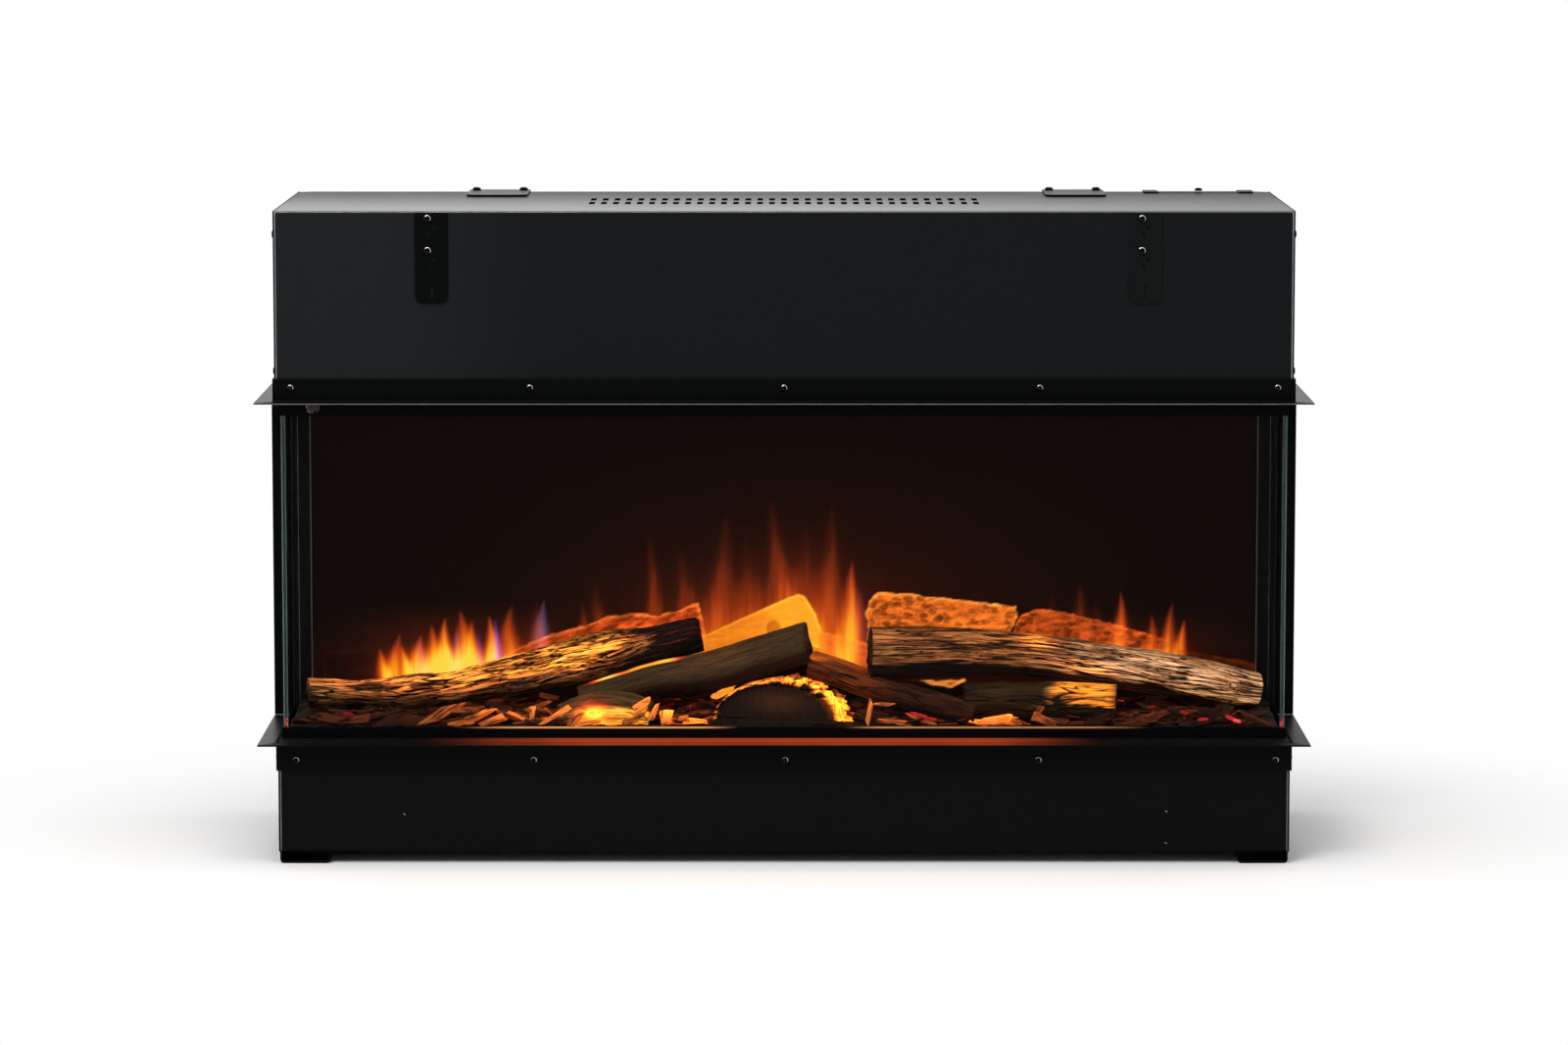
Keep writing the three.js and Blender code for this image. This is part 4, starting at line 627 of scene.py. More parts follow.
# Soft boxes: power, size, place and the point each one faces. The fire's own lamp, under the
# chamber roof, lights the logs and the bark.
lamps = {
    "overheadBox": {"power": 70.0, "size": (3.2, 2.4), "place": (0, -0.5, 3.2), "target": (0, 0, 0.4)},
    "keyBox": {"power": 60.0, "size": (1.8, 1.3), "place": (-1.2, -2.6, 3.1), "target": (0, 0, 0.3)},
    "chamberLamp": {"power": 0.55, "size": (0.96, 0.03), "place": (0, frontY + 0.052, 0.4525),
                    "target": (0, frontY + 0.075, 0.15), "colour": (1, 0.5, 0.2)},
}
for name, spec in lamps.items():
    lamp = bpy.data.lights.new(name, "AREA")
    lamp.energy = spec["power"]
    lamp.color = spec.get("colour", (1, 1, 1))
    lamp.shape = "RECTANGLE"
    lamp.size, lamp.size_y = spec["size"]
    holder = bpy.data.objects.new(name, lamp)
    across, deep, up = np.array(spec["target"], float) - np.array(spec["place"], float)
    holder.location = spec["place"]
    holder.rotation_euler = (math.atan2(math.hypot(across, deep), -up), 0, math.atan2(-across, deep))
    scene.collection.objects.link(holder)
print("camera, floor and light placed")


# Light of a fire from nothing to hottest: black, deep red, orange, yellow, pale yellow
fireStops = (
    (0.0, tint(0, 0, 0)), (0.14, tint(84, 14, 6)), (0.34, tint(200, 52, 16)),
    (0.58, tint(244, 128, 26)), (0.8, tint(255, 190, 44)), (1.0, tint(255, 226, 120)))
# Heat of the small embers: crimson first, then pink and yellow
emberStops = (
    (0.0, tint(0, 0, 0)), (0.12, tint(96, 10, 12)), (0.3, tint(212, 36, 44)),
    (0.5, tint(255, 96, 84)), (0.75, tint(255, 146, 36)), (1.0, tint(255, 188, 50)))
# Light that falls on wood, by its amount; on the pale right log it is less red
litStops = (
    (0.0, (0.0, 0.0, 0.0)), (0.3, (0.2, 0.045, 0.008)), (0.6, (0.62, 0.22, 0.03)), (1.0, (1.0, 0.62, 0.1)))
softLitStops = (
    (0.0, (0.0, 0.0, 0.0)), (0.3, (0.17, 0.082, 0.034)), (0.6, (0.6, 0.27, 0.06)), (1.0, (1.0, 0.62, 0.1)))
firePower, emberShare = 3.4, (0.3, 0.3, 0.3)


# Shows the fire on a surface: light that falls on it by one amount, and embers that glow in it by another
def showFire(finish, surface, glow, falling, ember, heat):
    lit = surface.vector("MULTIPLY", glow.ramp(falling))
    finish.vary("Base Color", surface)
    finish.vary("Emission Color", lit.vector("ADD", ember.ramp(heat).scaled(emberShare)))


# Wood: light and dark fibre along the grain, black in the cracks, in thin threads along the grain
# and where it is charred, where the char also carries painted shade, and growth rings on a sawn end.
# Bark may turn pale between two places.
def woodFinish(name, light, middle, dark, pale=None, falling=litStops, fibre=(15, 520, 520), threads=(14, 300, 300),
               depth=1.0, relief=0.0006):
    wood = Finish(name, **{"Specular IOR Level": 0.1, "Emission Strength": firePower})
    grain = wood.reads("grain", 1)
    crack, charAndShade, glow, cut, ember = [wood.reads(label) for label in ("crack", "charAndShade", "glow", "cut", "ember")]
    fine = grain.scaled(fibre).noise(1, 6, 0.68)
    plates = grain.scaled((22, 150, 150)).noise(1, 3)
    tone = (fine * 0.6 + plates * 0.4).rise(0.42, 0.56)
    if pale:
        start, end, paleMiddle, paleLight = pale
        share = grain.part("X").rise(start, end)
        middle, light = share.mixed(middle, paleMiddle), share.mixed(light, paleLight)
    thread = abs(grain.scaled(threads).noise(1, 3, 0.6) - 0.5).rise(0.05, 0.015) * (plates.rise(0.62, 0.4) * 0.5 + 0.5)
    bark = crack.maths("MAXIMUM", thread * depth).mixed(tone.mixed(middle, light), dark)
    rings = grain.scaled((0, 1, 1)).vector("LENGTH", out=1)
    ringed = ((rings + plates * 0.0022) * 2300).maths("SINE") * 0.5 + 0.5
    sawn = (ringed * 0.5 + fine * 0.5).mixed((30, 20, 13), (70, 50, 32))
    # The coal colour shows char and painted shade alike
    coalAndShade = fine.rise(0.4, 0.62).mixed((4, 2, 1), (28, 19, 13))
    showFire(wood, charAndShade.mixed(cut.mixed(bark, sawn), coalAndShade), glow, falling, ember * (fine * 0.9 + 0.5), fireStops)
    wood.vary("Roughness", fine * 0.2 + 0.7)
    wood.bump(fine + ringed * cut * 0.3, relief)
    return wood.material


# Points on a smooth curve through the stations, evenly spaced, by Catmull-Rom blending
def smoothPath(stations, count):
    padded = np.concatenate([2 * stations[:1] - stations[1:2], stations, 2 * stations[-1:] - stations[-2:-1]])
    spans = len(stations) - 1
    places = np.linspace(0, spans, count * 4)
    span = np.minimum(places.astype(int), spans - 1)
    t = (places - span)[:, None]
    a, b, c, d = [padded[span + step] for step in range(4)]
    curve = 0.5 * (2 * b + (c - a) * t + (2 * a - 5 * b + 4 * c - d) * t ** 2 + (3 * b - a - 3 * c + d) * t ** 3)
    walked = np.concatenate([[0], np.cumsum(np.linalg.norm(np.diff(curve[:, :3], axis=0), axis=1))])
    even = np.linspace(0, walked[-1], count)
    return np.stack([np.interp(even, walked, column) for column in curve.T], -1), even


# Noises of a log: cell sizes along it and round it, then the shift of its seed and the octaves
logNoise = {
    "slow": (0.05, 0.02, 31, 3), "plate": (0.03, 0.006, 35, 2), "fine": (0.012, 0.0022, 41, 3), "bend": (0.045, 0.02),
    "rough": 0.004, "jag": 0.006, "ends": (0.99, 0.965, 0.93, 0.88, 0.8, 0.7, 0.6, 0.5, 0.4, 0.3, 0.2, 0.1),
}


# A log: rings of points square to its run. The distance out from the run is the girth times a
# few slow lobes, less the depth of the cracks, plus plates and fibre. Each crack is a thin band
# where a noise, stretched along the log, crosses its middle value. Returned with the points are
# the values that its char and painted shade, glow and embers are worked out from.
def logShape(stations, spec):
    length = np.linalg.norm(np.diff(stations[:, :3], axis=0), axis=1).sum()
    count = int(length / spec["spacing"])
    path, along = smoothPath(stations, count)
    # Extra rings at both ends round the edge over and close the sawn face
    inwards = np.array(logNoise["ends"])
    extra = len(inwards)
    rows = np.concatenate([np.zeros(extra, int), np.arange(count), np.full(extra, count - 1)])
    fullness = np.concatenate([inwards[::-1], np.ones(count), inwards])[:, None]
    side = np.repeat([-1, 0, 1], [extra, count, extra])[:, None]
    centre, girth = path[:, :3], path[:, 3]
    run = np.gradient(centre, axis=0)
    run /= np.linalg.norm(run, axis=1, keepdims=True)
    across = np.cross([0, 0, 1], run)
    across /= np.linalg.norm(across, axis=1, keepdims=True)
    over = np.cross(run, across)
    angle = np.linspace(0, 2 * np.pi, spec["sides"], endpoint=False)[None, :]
    cos, sin = np.cos(angle), np.sin(angle)
    u = along[rows][:, None]
    seed, mean = spec["seed"], girth.mean()
    ringX, ringY = mean * cos, mean * sin
    bendLong, bendRound = logNoise["bend"]
    bend = [0.012 * spec["wander"] * (softNoise(
        u / bendLong, ringX / bendRound + 7 * step, ringY / bendRound, seed + step) - 0.5) for step in (20, 21)]

    def barkNoise(kind, shiftX=0, shiftY=0):
        alongSize, roundSize, offset, octaves = logNoise[kind]
        return layeredNoise(u / alongSize, (ringX + shiftX) / roundSize, (ringY + shiftY) / roundSize,
                            seed + offset, octaves) - 0.5

    lobes = sum(share * np.sin(k * angle + seed * k + drift * u) for k, share, drift in spec["lobes"])
    corners = (np.abs(np.cos(angle - spec["turn"])) ** 4 + np.abs(np.sin(angle - spec["turn"])) ** 4) ** -0.25
    section = blendIn(1, corners * 0.93, spec["square"])
    crack, relief = 0, 0
    for step, (alongSize, roundSize, width, depth) in enumerate(spec["cracks"]):
        field = layeredNoise(u / alongSize, (ringX + bend[0]) / roundSize, (ringY + bend[1]) / roundSize,
                             seed + 3 + 5 * step, 2)
        line = 1 - smoothStep(width * 0.25, width, np.abs(field - 0.5))
        crack = np.maximum(crack, line)
        relief = relief - depth * line
    slow, plate, fine = barkNoise("slow"), barkNoise("plate", *bend), barkNoise("fine")
    relief = relief + spec["swell"] * slow + spec["plate"] * plate + spec["fibre"] * fine
    radius = (girth[rows][:, None] * section * (1 + lobes) + relief) * fullness
    endX, endY = [radius * turned / logNoise["rough"] for turned in (cos, sin)]
    rough = layeredNoise(endX + 3, endY, u * 0 + seed, seed + 51, 3)
    jagged = layeredNoise(u * 0 + side, ringX / logNoise["jag"], ringY / logNoise["jag"], seed + 61, 3)
    push = side * (0.0016 * (rough - 0.5) * (fullness < 0.98) + spec["slant"] * radius * sin
                   + spec["jag"] * (jagged - 0.5) - 0.0014 * smoothStep(0.93, 1.0, fullness))
    points = (centre[rows][:, None, :] + push[..., None] * run[rows][:, None, :] + radius[..., None] * (
        cos[..., None] * across[rows][:, None, :] + sin[..., None] * over[rows][:, None, :]))
    whole = 0 * radius
    return points, SimpleNamespace(
        x=points[..., 0], z=points[..., 2], up=sin + whole, share=u / along[-1] + whole, crack=crack,
        slow=slow, plate=plate, cut=(fullness < 0.97) + whole,
        grain=np.stack([u + whole, radius * cos, radius * sin], -1))


# Adds the middle points of both ends to an array of values over the rings
def withEnds(grid):
    middles = [ring.reshape(grid.shape[1], -1).mean(0, keepdims=True) for ring in (grid[0], grid[-1])]
    return np.concatenate([grid.reshape(grid.shape[0] * grid.shape[1], -1), *middles]).squeeze()


# The stations of a log are x, y behind the casing front, z above the floor and radius, in millimetres
def makeLog(name, spec, material):
    points, v = logShape(np.array(spec["stations"], float) / 1000 + (0, frontY, 0, 0), spec)
    ember = spec["ember"](v) if "ember" in spec else 0 * v.x
    attributes = {
        "grain": v.grain, "crack": v.crack * (1 - v.cut), "cut": v.cut, "charAndShade": np.clip(spec["charAndShade"](v), 0, 1),
        "glow": np.clip(spec["glow"](v), 0, 1), "ember": np.clip(ember, 0, 1)}
    piece = buildPiece(name, withEnds(points), *tubeFaces(*points.shape[:2]), {
        label: withEnds(values) for label, values in attributes.items()})
    fit(piece, material, replaces=[spec["node"]])


bedLow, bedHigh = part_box("bark_bed")
bedFront, bedBack, bedHalf = bedLow.y, bedHigh.y, bedHigh.x


# The cast logs: their form, then how charred, hot and lit each point is; the char also darkens the
# undersides as painted shade. That goes by its place x and z, how far up the log's side it is, the
# slow and plate noises of its bark, cracks and the sawn cut.
logs = {
    "barkLogLeft": {
        "node": "log_long_left", "seed": 4, "sides": 260, "spacing": 0.0015, "wander": 0.45, "square": 0.3,
        "turn": 0.5, "slant": 0.12, "swell": 0.0048, "plate": 0.0036, "fibre": 0.0014, "jag": 0.006,
        "lobes": ((2, 0.05, 9), (3, 0.06, 14), (5, 0.03, -22)),
        "cracks": ((0.055, 0.0046, 0.05, 0.0017), (0.035, 0.0023, 0.08, 0.0008)),
        "stations": (
            (-493, 88, 163.6, 14.6), (-463, 93, 162.2, 14.4), (-433, 98, 161.2, 14.4), (-378, 106, 163.3, 17.6),
            (-345, 112, 164.7, 17.4), (-295, 121, 173.4, 19.2), (-248, 129, 181.7, 20.8), (-185, 136, 195, 22.2),
            (-136, 135, 206, 19), (-88, 133, 219, 16.6)),
        # Char at one end and in patches, with painted shade on the underside
        "charAndShade": lambda v: smoothStep(-0.182, -0.148, v.x - 0.024 * v.up + 0.12 * v.plate + 0.08 * v.slow)
        + 0.9 * smoothStep(-0.35, -0.85, v.up + 0.5 * v.plate)
        + 0.8 * smoothStep(0.86, 0.96, v.up + 0.5 * v.plate)
        * (bell(v.x, -0.365, 0.03) + smoothStep(-0.29, -0.25, v.x))
        + 0.85 * smoothStep(-0.33, -0.38, v.x) * smoothStep(0.03, 0.12, v.plate - 0.5 * v.slow),
        "ember": lambda v: 0.22 * smoothStep(-0.19, -0.15, v.x) * smoothStep(-0.12, 0.06, v.plate)
        * sum(bell(v.up + 0.5 * v.slow, level, 0.022) for level in (0.62, 0.36, 0.12, -0.16, -0.4)),
        "glow": lambda v: (2.7 * bell(v.up + 0.9 * v.slow, 0.52, 0.56)
                           * (bell(v.x, -0.285, 0.06) + 0.9 * bell(v.x, -0.222, 0.042))
                           + 0.3 * smoothStep(-0.2, 0.8, v.up + v.slow) * (1 + bell(v.x, -0.41, 0.06))
                           + 0.06) * (1 - 0.85 * v.crack),
    },
    "barkLogRight": {
        "node": "log_long_right", "seed": 11, "sides": 290, "spacing": 0.0016, "wander": 0.25, "square": 0.25,
        "turn": 0.2, "slant": -0.05, "swell": 0.0035, "plate": 0.0022, "fibre": 0.0011, "jag": 0.005,
        "lobes": ((2, 0.04, 4), (3, 0.03, 7)),
        "cracks": ((0.1, 0.0034, 0.06, 0.0012), (0.06, 0.0019, 0.09, 0.0007)),
        "stations": (
            (89, 72, 207.9, 27), (131, 76, 207.5, 27), (186, 82, 206.1, 24.8), (243, 89, 203.4, 22),
            (329, 101, 191.2, 21.6), (417, 122, 173.4, 22), (495, 141, 157.7, 17.4)),
        # Mostly painted shade over the lower side of the log, with some char
        "charAndShade": lambda v: smoothStep(0.0, -0.22, v.up + 0.35 * v.plate + 0.2 * v.slow + 0.3
                                     - 0.06 * smoothStep(0.26, 0.2, v.x) + 0.3 * smoothStep(0.36, 0.44, v.x))
        + 0.25 * v.cut * (v.share < 0.5) + 0.6 * smoothStep(0.9, 0.97, v.up)
        + 0.14 * smoothStep(0.24, 0.12, v.x),
        "glow": lambda v: (1.0 * bell(v.x, 0.262, 0.018) * bell(v.up + 0.5 * v.slow, 0.78, 0.2)
                           + 0.5 * bell(v.x, 0.305, 0.035) * bell(v.up + 0.6 * v.slow, -0.1, 0.25)
                           + 0.45 * bell(v.x, 0.33, 0.05) * smoothStep(-0.3, -0.7, v.up)
                           + 0.12 * bell(v.x, 0.28, 0.09) + 0.13 + 0.2 * smoothStep(0.3, 0.4, v.x))
        * (1 - 0.8 * v.crack),
    },
    "splitLogCentre": {
        "node": "log_centre", "seed": 19, "sides": 200, "spacing": 0.0016, "wander": 0.3, "square": 0.6,
        "turn": 0.35, "slant": 0.2, "swell": 0.002, "plate": 0.0008, "fibre": 0.0007, "jag": 0.001,
        "lobes": ((2, 0.05, 3),),
        "cracks": ((0.12, 0.004, 0.018, 0.0005),),
        "stations": (
            (-209, 122, 149.7, 15.8), (-164, 118, 164.3, 16.7), (-134, 114, 172.7, 18), (-73, 103, 184.2, 20.4),
            (-28, 95, 199.2, 20.4), (24, 88, 216.3, 20.6)),
        # Painted shade on the underside
        "charAndShade": lambda v: 0.1 + 0.85 * smoothStep(0.1, -0.6, v.up),
        "glow": lambda v: 0.12 + 0.25 * bell(v.x, -0.06, 0.05) * smoothStep(-0.3, 0.4, v.up),
        "ember": lambda v: smoothStep(0.95, 0.985, v.up) * (
            1.0 * bell(v.x, -0.186, 0.014) + 0.75 * bell(v.x, -0.15, 0.02) + 0.85 * bell(v.x, -0.122, 0.014)),
    },
    "splitLogRight": {
        "node": "log_small_right", "seed": 27, "sides": 180, "spacing": 0.0016, "wander": 0.7, "square": 0.5,
        "turn": 0.2, "slant": 0.0, "swell": 0.0025, "plate": 0.002, "fibre": 0.001, "jag": 0.003,
        "lobes": ((2, 0.05, 3), (3, 0.04, 8)),
        "cracks": ((0.09, 0.0042, 0.035, 0.0009),),
        "stations": (
            (28, 93, 192.5, 14), (51, 86, 186.5, 14.6), (86, 78, 174.5, 15), (121, 70, 163.5, 15),
            (161, 63, 153, 13.8), (196, 58, 144.8, 11.6)),
        # Darker at the right end, with painted shade on the underside
        "charAndShade": lambda v: 0.05 + 0.66 * smoothStep(0.08, 0.12, v.x) + 0.4 * smoothStep(0.0, -0.7, v.up),
        "glow": lambda v: 0.08 + 1.6 * smoothStep(0.0, 0.8, v.up + 1.8 * v.slow) * smoothStep(0.11, 0.05, v.x)
        * (1 - 0.7 * v.crack),
    },
    "darkLogRight": {
        "node": "log_dark_right", "seed": 33, "sides": 200, "spacing": 0.0016, "wander": 1.0, "square": 0.2,
        "turn": 0.0, "slant": 0.06, "swell": 0.004, "plate": 0.003, "fibre": 0.0012, "jag": 0.003,
        "lobes": ((2, 0.06, 6), (3, 0.05, 10)),
        "cracks": ((0.06, 0.006, 0.045, 0.0014),),
        "stations": (
            (187, 74, 155.6, 20.5), (222, 72, 156.3, 21.4), (263, 70, 156.3, 21), (303, 68, 156.3, 20.6),
            (343, 65, 156.3, 19.4)),
        "charAndShade": lambda v: 0.93 - 0.9 * smoothStep(0.256, 0.27, v.x - 0.02 * v.up + 0.03 * v.plate)
        * smoothStep(-0.25, 0.05, v.up + 0.8 * v.plate) * (1 - 0.7 * bell(v.up + 1.6 * v.slow, 0.3, 0.07)),
        "glow": lambda v: smoothStep(0.256, 0.27, v.x - 0.02 * v.up)
        * smoothStep(-0.25, 0.25, v.up + 0.9 * v.plate) * (1 - 0.8 * v.crack) * (1 - v.cut)
        * 0.82 * smoothStep(0.345, 0.333, v.x),
    },
    "lowLogLeft": {
        "node": "log_low_left", "seed": 41, "sides": 180, "spacing": 0.0014, "wander": 0.8, "square": 0.1,
        "turn": 0.0, "slant": 0.1, "swell": 0.004, "plate": 0.002, "fibre": 0.001, "jag": 0.004,
        "lobes": ((2, 0.06, 6),),
        "cracks": ((0.06, 0.006, 0.03, 0.0008),),
        "stations": (
            (-231, 64, 142.3, 12.4), (-208, 62, 147.6, 16.4), (-182, 60, 150, 18.4), (-157, 58, 149, 17.2),
            (-138, 57, 145.8, 13.6)),
        "charAndShade": lambda v: 0.78 * smoothStep(0.15, 0.4, v.up + 0.4 * v.slow),
        "glow": lambda v: smoothStep(0.55, 0.3, v.up + 0.4 * v.slow) * smoothStep(-0.228, -0.2, v.x),
        "ember": lambda v: 0.95 * bell(v.x, -0.196, 0.016) * bell(v.z, 0.147, 0.011),
    },
}

barkPaints = {
    "barkLogLeft": ((198, 150, 90), (94, 52, 28), (12, 6, 4)),
    "barkLogRight": ((196, 132, 76), (116, 68, 36), (30, 14, 7), (0.14, 0.31, (172, 130, 90), (250, 220, 178))),
    "splitLogCentre": ((70, 60, 38), (52, 44, 28), (30, 24, 15)),
    "splitLogRight": ((112, 62, 30), (50, 24, 12), (12, 6, 4)),
    "darkLogRight": ((184, 134, 58), (122, 84, 38), (30, 18, 9)),
    "lowLogLeft": ((182, 140, 74), (104, 78, 42), (34, 22, 12)),
}

# The paler bark of the two long logs has deeper threads than the split logs
for name, spec in logs.items():
    long = "bark" in name
    wood = woodFinish(name + "Wood", *barkPaints[name], depth=1.0 if long else 0.75,
                      falling=softLitStops if name == "barkLogRight" else litStops)
    makeLog(name, spec, wood)
print("logs built")

halfLog = {
    "middle": (-0.008, 0.059), "turn": -0.2, "low": 0.1361, "width": 0.139, "height": 0.044, "length": 0.042,
    "centreHeight": 0.014, "seed": 51, "bark": 0.0076, "sides": 320, "steps": 46, "hollow": 0.0035,
    "inner": (0.03, 0.2, 0.4, 0.6, 0.75, 0.86, 0.9, 0.925, 0.95, 0.97, 0.985),
    "lumps": (0.0062, 0.0075), "pits": 0.0028, "stain": (0.02, 0.012),
    "tones": ((236, 176, 80), (176, 112, 46), (24, 12, 7)),
}


# Half log: an arch carried from its sawn face to its back. From a centre a little above its flat
# foot the outline is the nearer of the arch and the foot. Thick lumps of bark stand round the arch,
# with painted shade between them, and the sawn face is a smooth dark hollow, painted darker away
# from its lit middle.
def makeHalfLog():
    steps, seed, lift, height = [halfLog[key] for key in ("steps", "seed", "centreHeight", "height")]
    angle = np.linspace(0, 2 * np.pi, halfLog["sides"], endpoint=False)
    u, v = np.cos(angle), np.sin(angle)
    # Distance from the centre to the arch, where (x / half width) squared + (z / height) squared = 1
    a = (2 * u / halfLog["width"]) ** 2 + (v / height) ** 2
    b = 2 * lift * v / height ** 2
    c = (lift / height) ** 2 - 1
    arch = (-b + np.sqrt(b * b - 4 * a * c)) / (2 * a)
    foot = np.where(v < -1e-6, lift / np.maximum(-v, 1e-6), 1)
    outline = np.minimum(arch, foot)[None, :]
    onArch = smoothStep(0, 0.004, foot - arch)[None, :]
    inner = np.array(halfLog["inner"])
    count = len(inner)
    share = np.concatenate([inner, np.ones(steps), inner[::-1]])[:, None]
    back = np.concatenate([np.zeros(count), np.linspace(0, 1, steps), np.ones(count)])[:, None]
    isFace = np.repeat([1.0, 0.0], [count, steps + count])[:, None]
    depth = back * halfLog["length"]
    x, z = outline * u, outline * v
    right = smoothStep(-0.03, 0.045, x)
    (lump, lumpDepth), pit, (stainX, stainZ) = halfLog["lumps"], halfLog["pits"], halfLog["stain"]
    lumps = layeredNoise(x / lump, z / lump + 5, depth / lumpDepth, seed, 3) - 0.42
    pits = layeredNoise(x / pit, z / pit, depth / pit, seed + 9, 2) - 0.5
    stain = layeredNoise(x * share / stainX, z * share / stainZ, depth + 2, 77, 3)
    thick = halfLog["bark"] * onArch * (0.2 + 0.8 * right)
    rim = smoothStep(0.905 - 0.07 * right, 0.97 - 0.05 * right, share) * onArch
    radius = share * outline * 0.985 + thick * (0.5 + 2.4 * lumps + 0.8 * pits) * rim - 0.003 * onArch * rim
    hollow = isFace * halfLog["hollow"] * smoothStep(0.985, 0.9, share) * (1 + 0.4 * (stain - 0.5))
    reach = depth + hollow - isFace * thick * (0.5 + 2.0 * lumps) * rim
    across, up = radius * u, radius * v + lift
    turn, (middleX, middleY) = halfLog["turn"], halfLog["middle"]
    points = np.stack([
        middleX + across * math.cos(turn) - reach * math.sin(turn),
        frontY + middleY + across * math.sin(turn) + reach * math.cos(turn), halfLog["low"] + up], -1)
    brightRight = smoothStep(0.0, 0.05, across)
    lumpGlow = smoothStep(1.1, 0.3, back) * smoothStep(-0.04, 0.14, lumps + 0.3 * pits)
    rimGlow = rim * (0.62 + 0.8 * brightRight) * lumpGlow
    faceGlow = 0.34 * bell(across, 0.002, 0.03) * bell(up, 0.02, 0.012) * isFace * (1 - rim)
    # Painted shade: the sawn face darker away from its middle, and the bark between the lumps
    faceShade = (0.72 - 0.6 * bell(across, 0.002, 0.032) * bell(up, 0.022, 0.013)) * (1 - rim)
    faceGrain = np.stack(np.broadcast_arrays(up * 2.2, across, depth), -1)
    barkGrain = np.stack(np.broadcast_arrays(depth, across, up), -1)
    values = {
        "grain": np.where(isFace[..., None] > 0.5, faceGrain, barkGrain), "crack": rim * smoothStep(0.02, -0.1, lumps),
        "charAndShade": np.clip(faceShade + 0.95 * smoothStep(0.04, -0.06, lumps) * rim, 0, 1),
        "glow": np.clip(rimGlow + faceGlow, 0, 1), "cut": isFace * (1 - rim),
        "ember": 0.3 * rim * brightRight * smoothStep(0.05, 0.2, lumps) * smoothStep(0.75, 0.2, back)}
    piece = buildPiece("halfLogFront", withEnds(points), *tubeFaces(len(share), halfLog["sides"]), {
        label: withEnds(array) for label, array in values.items()})
    wood = woodFinish("halfLogWood", *halfLog["tones"], fibre=(60, 300, 300), threads=(120, 240, 240), depth=0.3,
                      relief=0.0008)
    fit(piece, wood, replaces=["log_half_front"])


makeHalfLog()
print("half log built")


bed = {
    "rise": 0.0105, "swell": 0.007, "lumps": 0.007, "lumpSize": 0.011, "columns": 420, "rows": 64, "seed": 6,
    "glow": 0.04, "ember": 0.2, "hotSize": 0.016,
}
# Light on the bed along its length: bells with their height, middle and width, over a faint base.
# It is brightest left of the middle and faint at the ends.
bedLight = (
    (0.95, -0.175, 0.07), (0.6, -0.28, 0.07), (0.55, -0.11, 0.03), (0.42, 0.085, 0.035), (0.7, 0.225, 0.03),
    (0.3, 0.16, 0.04), (0.25, 0.3, 0.05), (0.12, -0.42, 0.05))
bedLightBase = 0.06


# Height of the bed: a slow rise to the back, with lumps from layered noise
def bedHeight(x, y):
    share = (y - bedFront) / (bedBack - bedFront)
    lump = layeredNoise(x / bed["lumpSize"], y / bed["lumpSize"], x * 0 + 2, bed["seed"], 3) - 0.5
    return plinthTop + bed["rise"] + bed["swell"] * share + bed["lumps"] * lump


def barkBits(name, light, middle, dark, heat=fireStops):
    bark = Finish(name, **{"Specular IOR Level": 0.12, "Emission Strength": firePower})
    tone, glow, ember = [bark.reads(label) for label in ("tone", "glow", "ember")]
    grain = bark.reads("grain", 1).scaled((60, 460, 460)).noise(1, 4)
    pale = tone.rise(0.1, 0.6).mixed(middle, light)
    surface = (tone * (grain.rise(0.36, 0.62) + 0.25)).rise(-0.1, 1.0).mixed(dark, pale)
    showFire(bark, surface, glow, litStops, ember * (grain * 0.9 + 0.5), heat)
    bark.vary("Roughness", grain * 0.25 + 0.65)
    bark.bump(grain, 0.0005)
    return bark.material


# Bark or embers in one piece, with how pale, how lit and how hot each body or point of it is
def makeBits(name, points, faces, grain, material, tone=0.0, glow=0.0, ember=0.0, replaces=(), smooth=True):
    attributes = {label: np.broadcast_to(values, points.shape[:-1]).ravel()
                  for label, values in (("tone", tone), ("glow", glow), ("ember", ember))}
    piece = buildPiece(name, points.reshape(-1, 3), *faces, {"grain": grain.reshape(-1, 3), **attributes}, smooth)
    fit(piece, material, replaces)


def makeBed():
    x, y = np.meshgrid(
        np.linspace(-bedHalf, bedHalf, bed["columns"]), np.linspace(bedFront, bedBack, bed["rows"]), indexing="ij")
    # The outer lines of the grid are doubled and dropped to the pan
    height = np.pad(bedHeight(x, y), 1, mode="edge")
    height[[0, -1]] = height[:, [0, -1]] = bedLow.z + 0.001
    x, y = np.pad(x, 1, mode="edge"), np.pad(y, 1, mode="edge")
    points = np.stack([x, y, height], -1)
    hot = layeredNoise(x / bed["hotSize"], y / bed["hotSize"], height * 0 + 9, 12, 3)
    light = bells(x, bedLight) + bedLightBase
    ember = bed["ember"] * light * smoothStep(0.55, 0.68, hot) * smoothStep(bedFront + 0.045, bedFront + 0.08, y)
    makeBits("emberBed", points, (gridQuads(*height.shape), ()), points,
             barkBits("bedBark", (20, 9, 5), (20, 9, 5), (6, 3, 2)), hot, bed["glow"] * light, ember, ["bark_bed"])


makeBed()


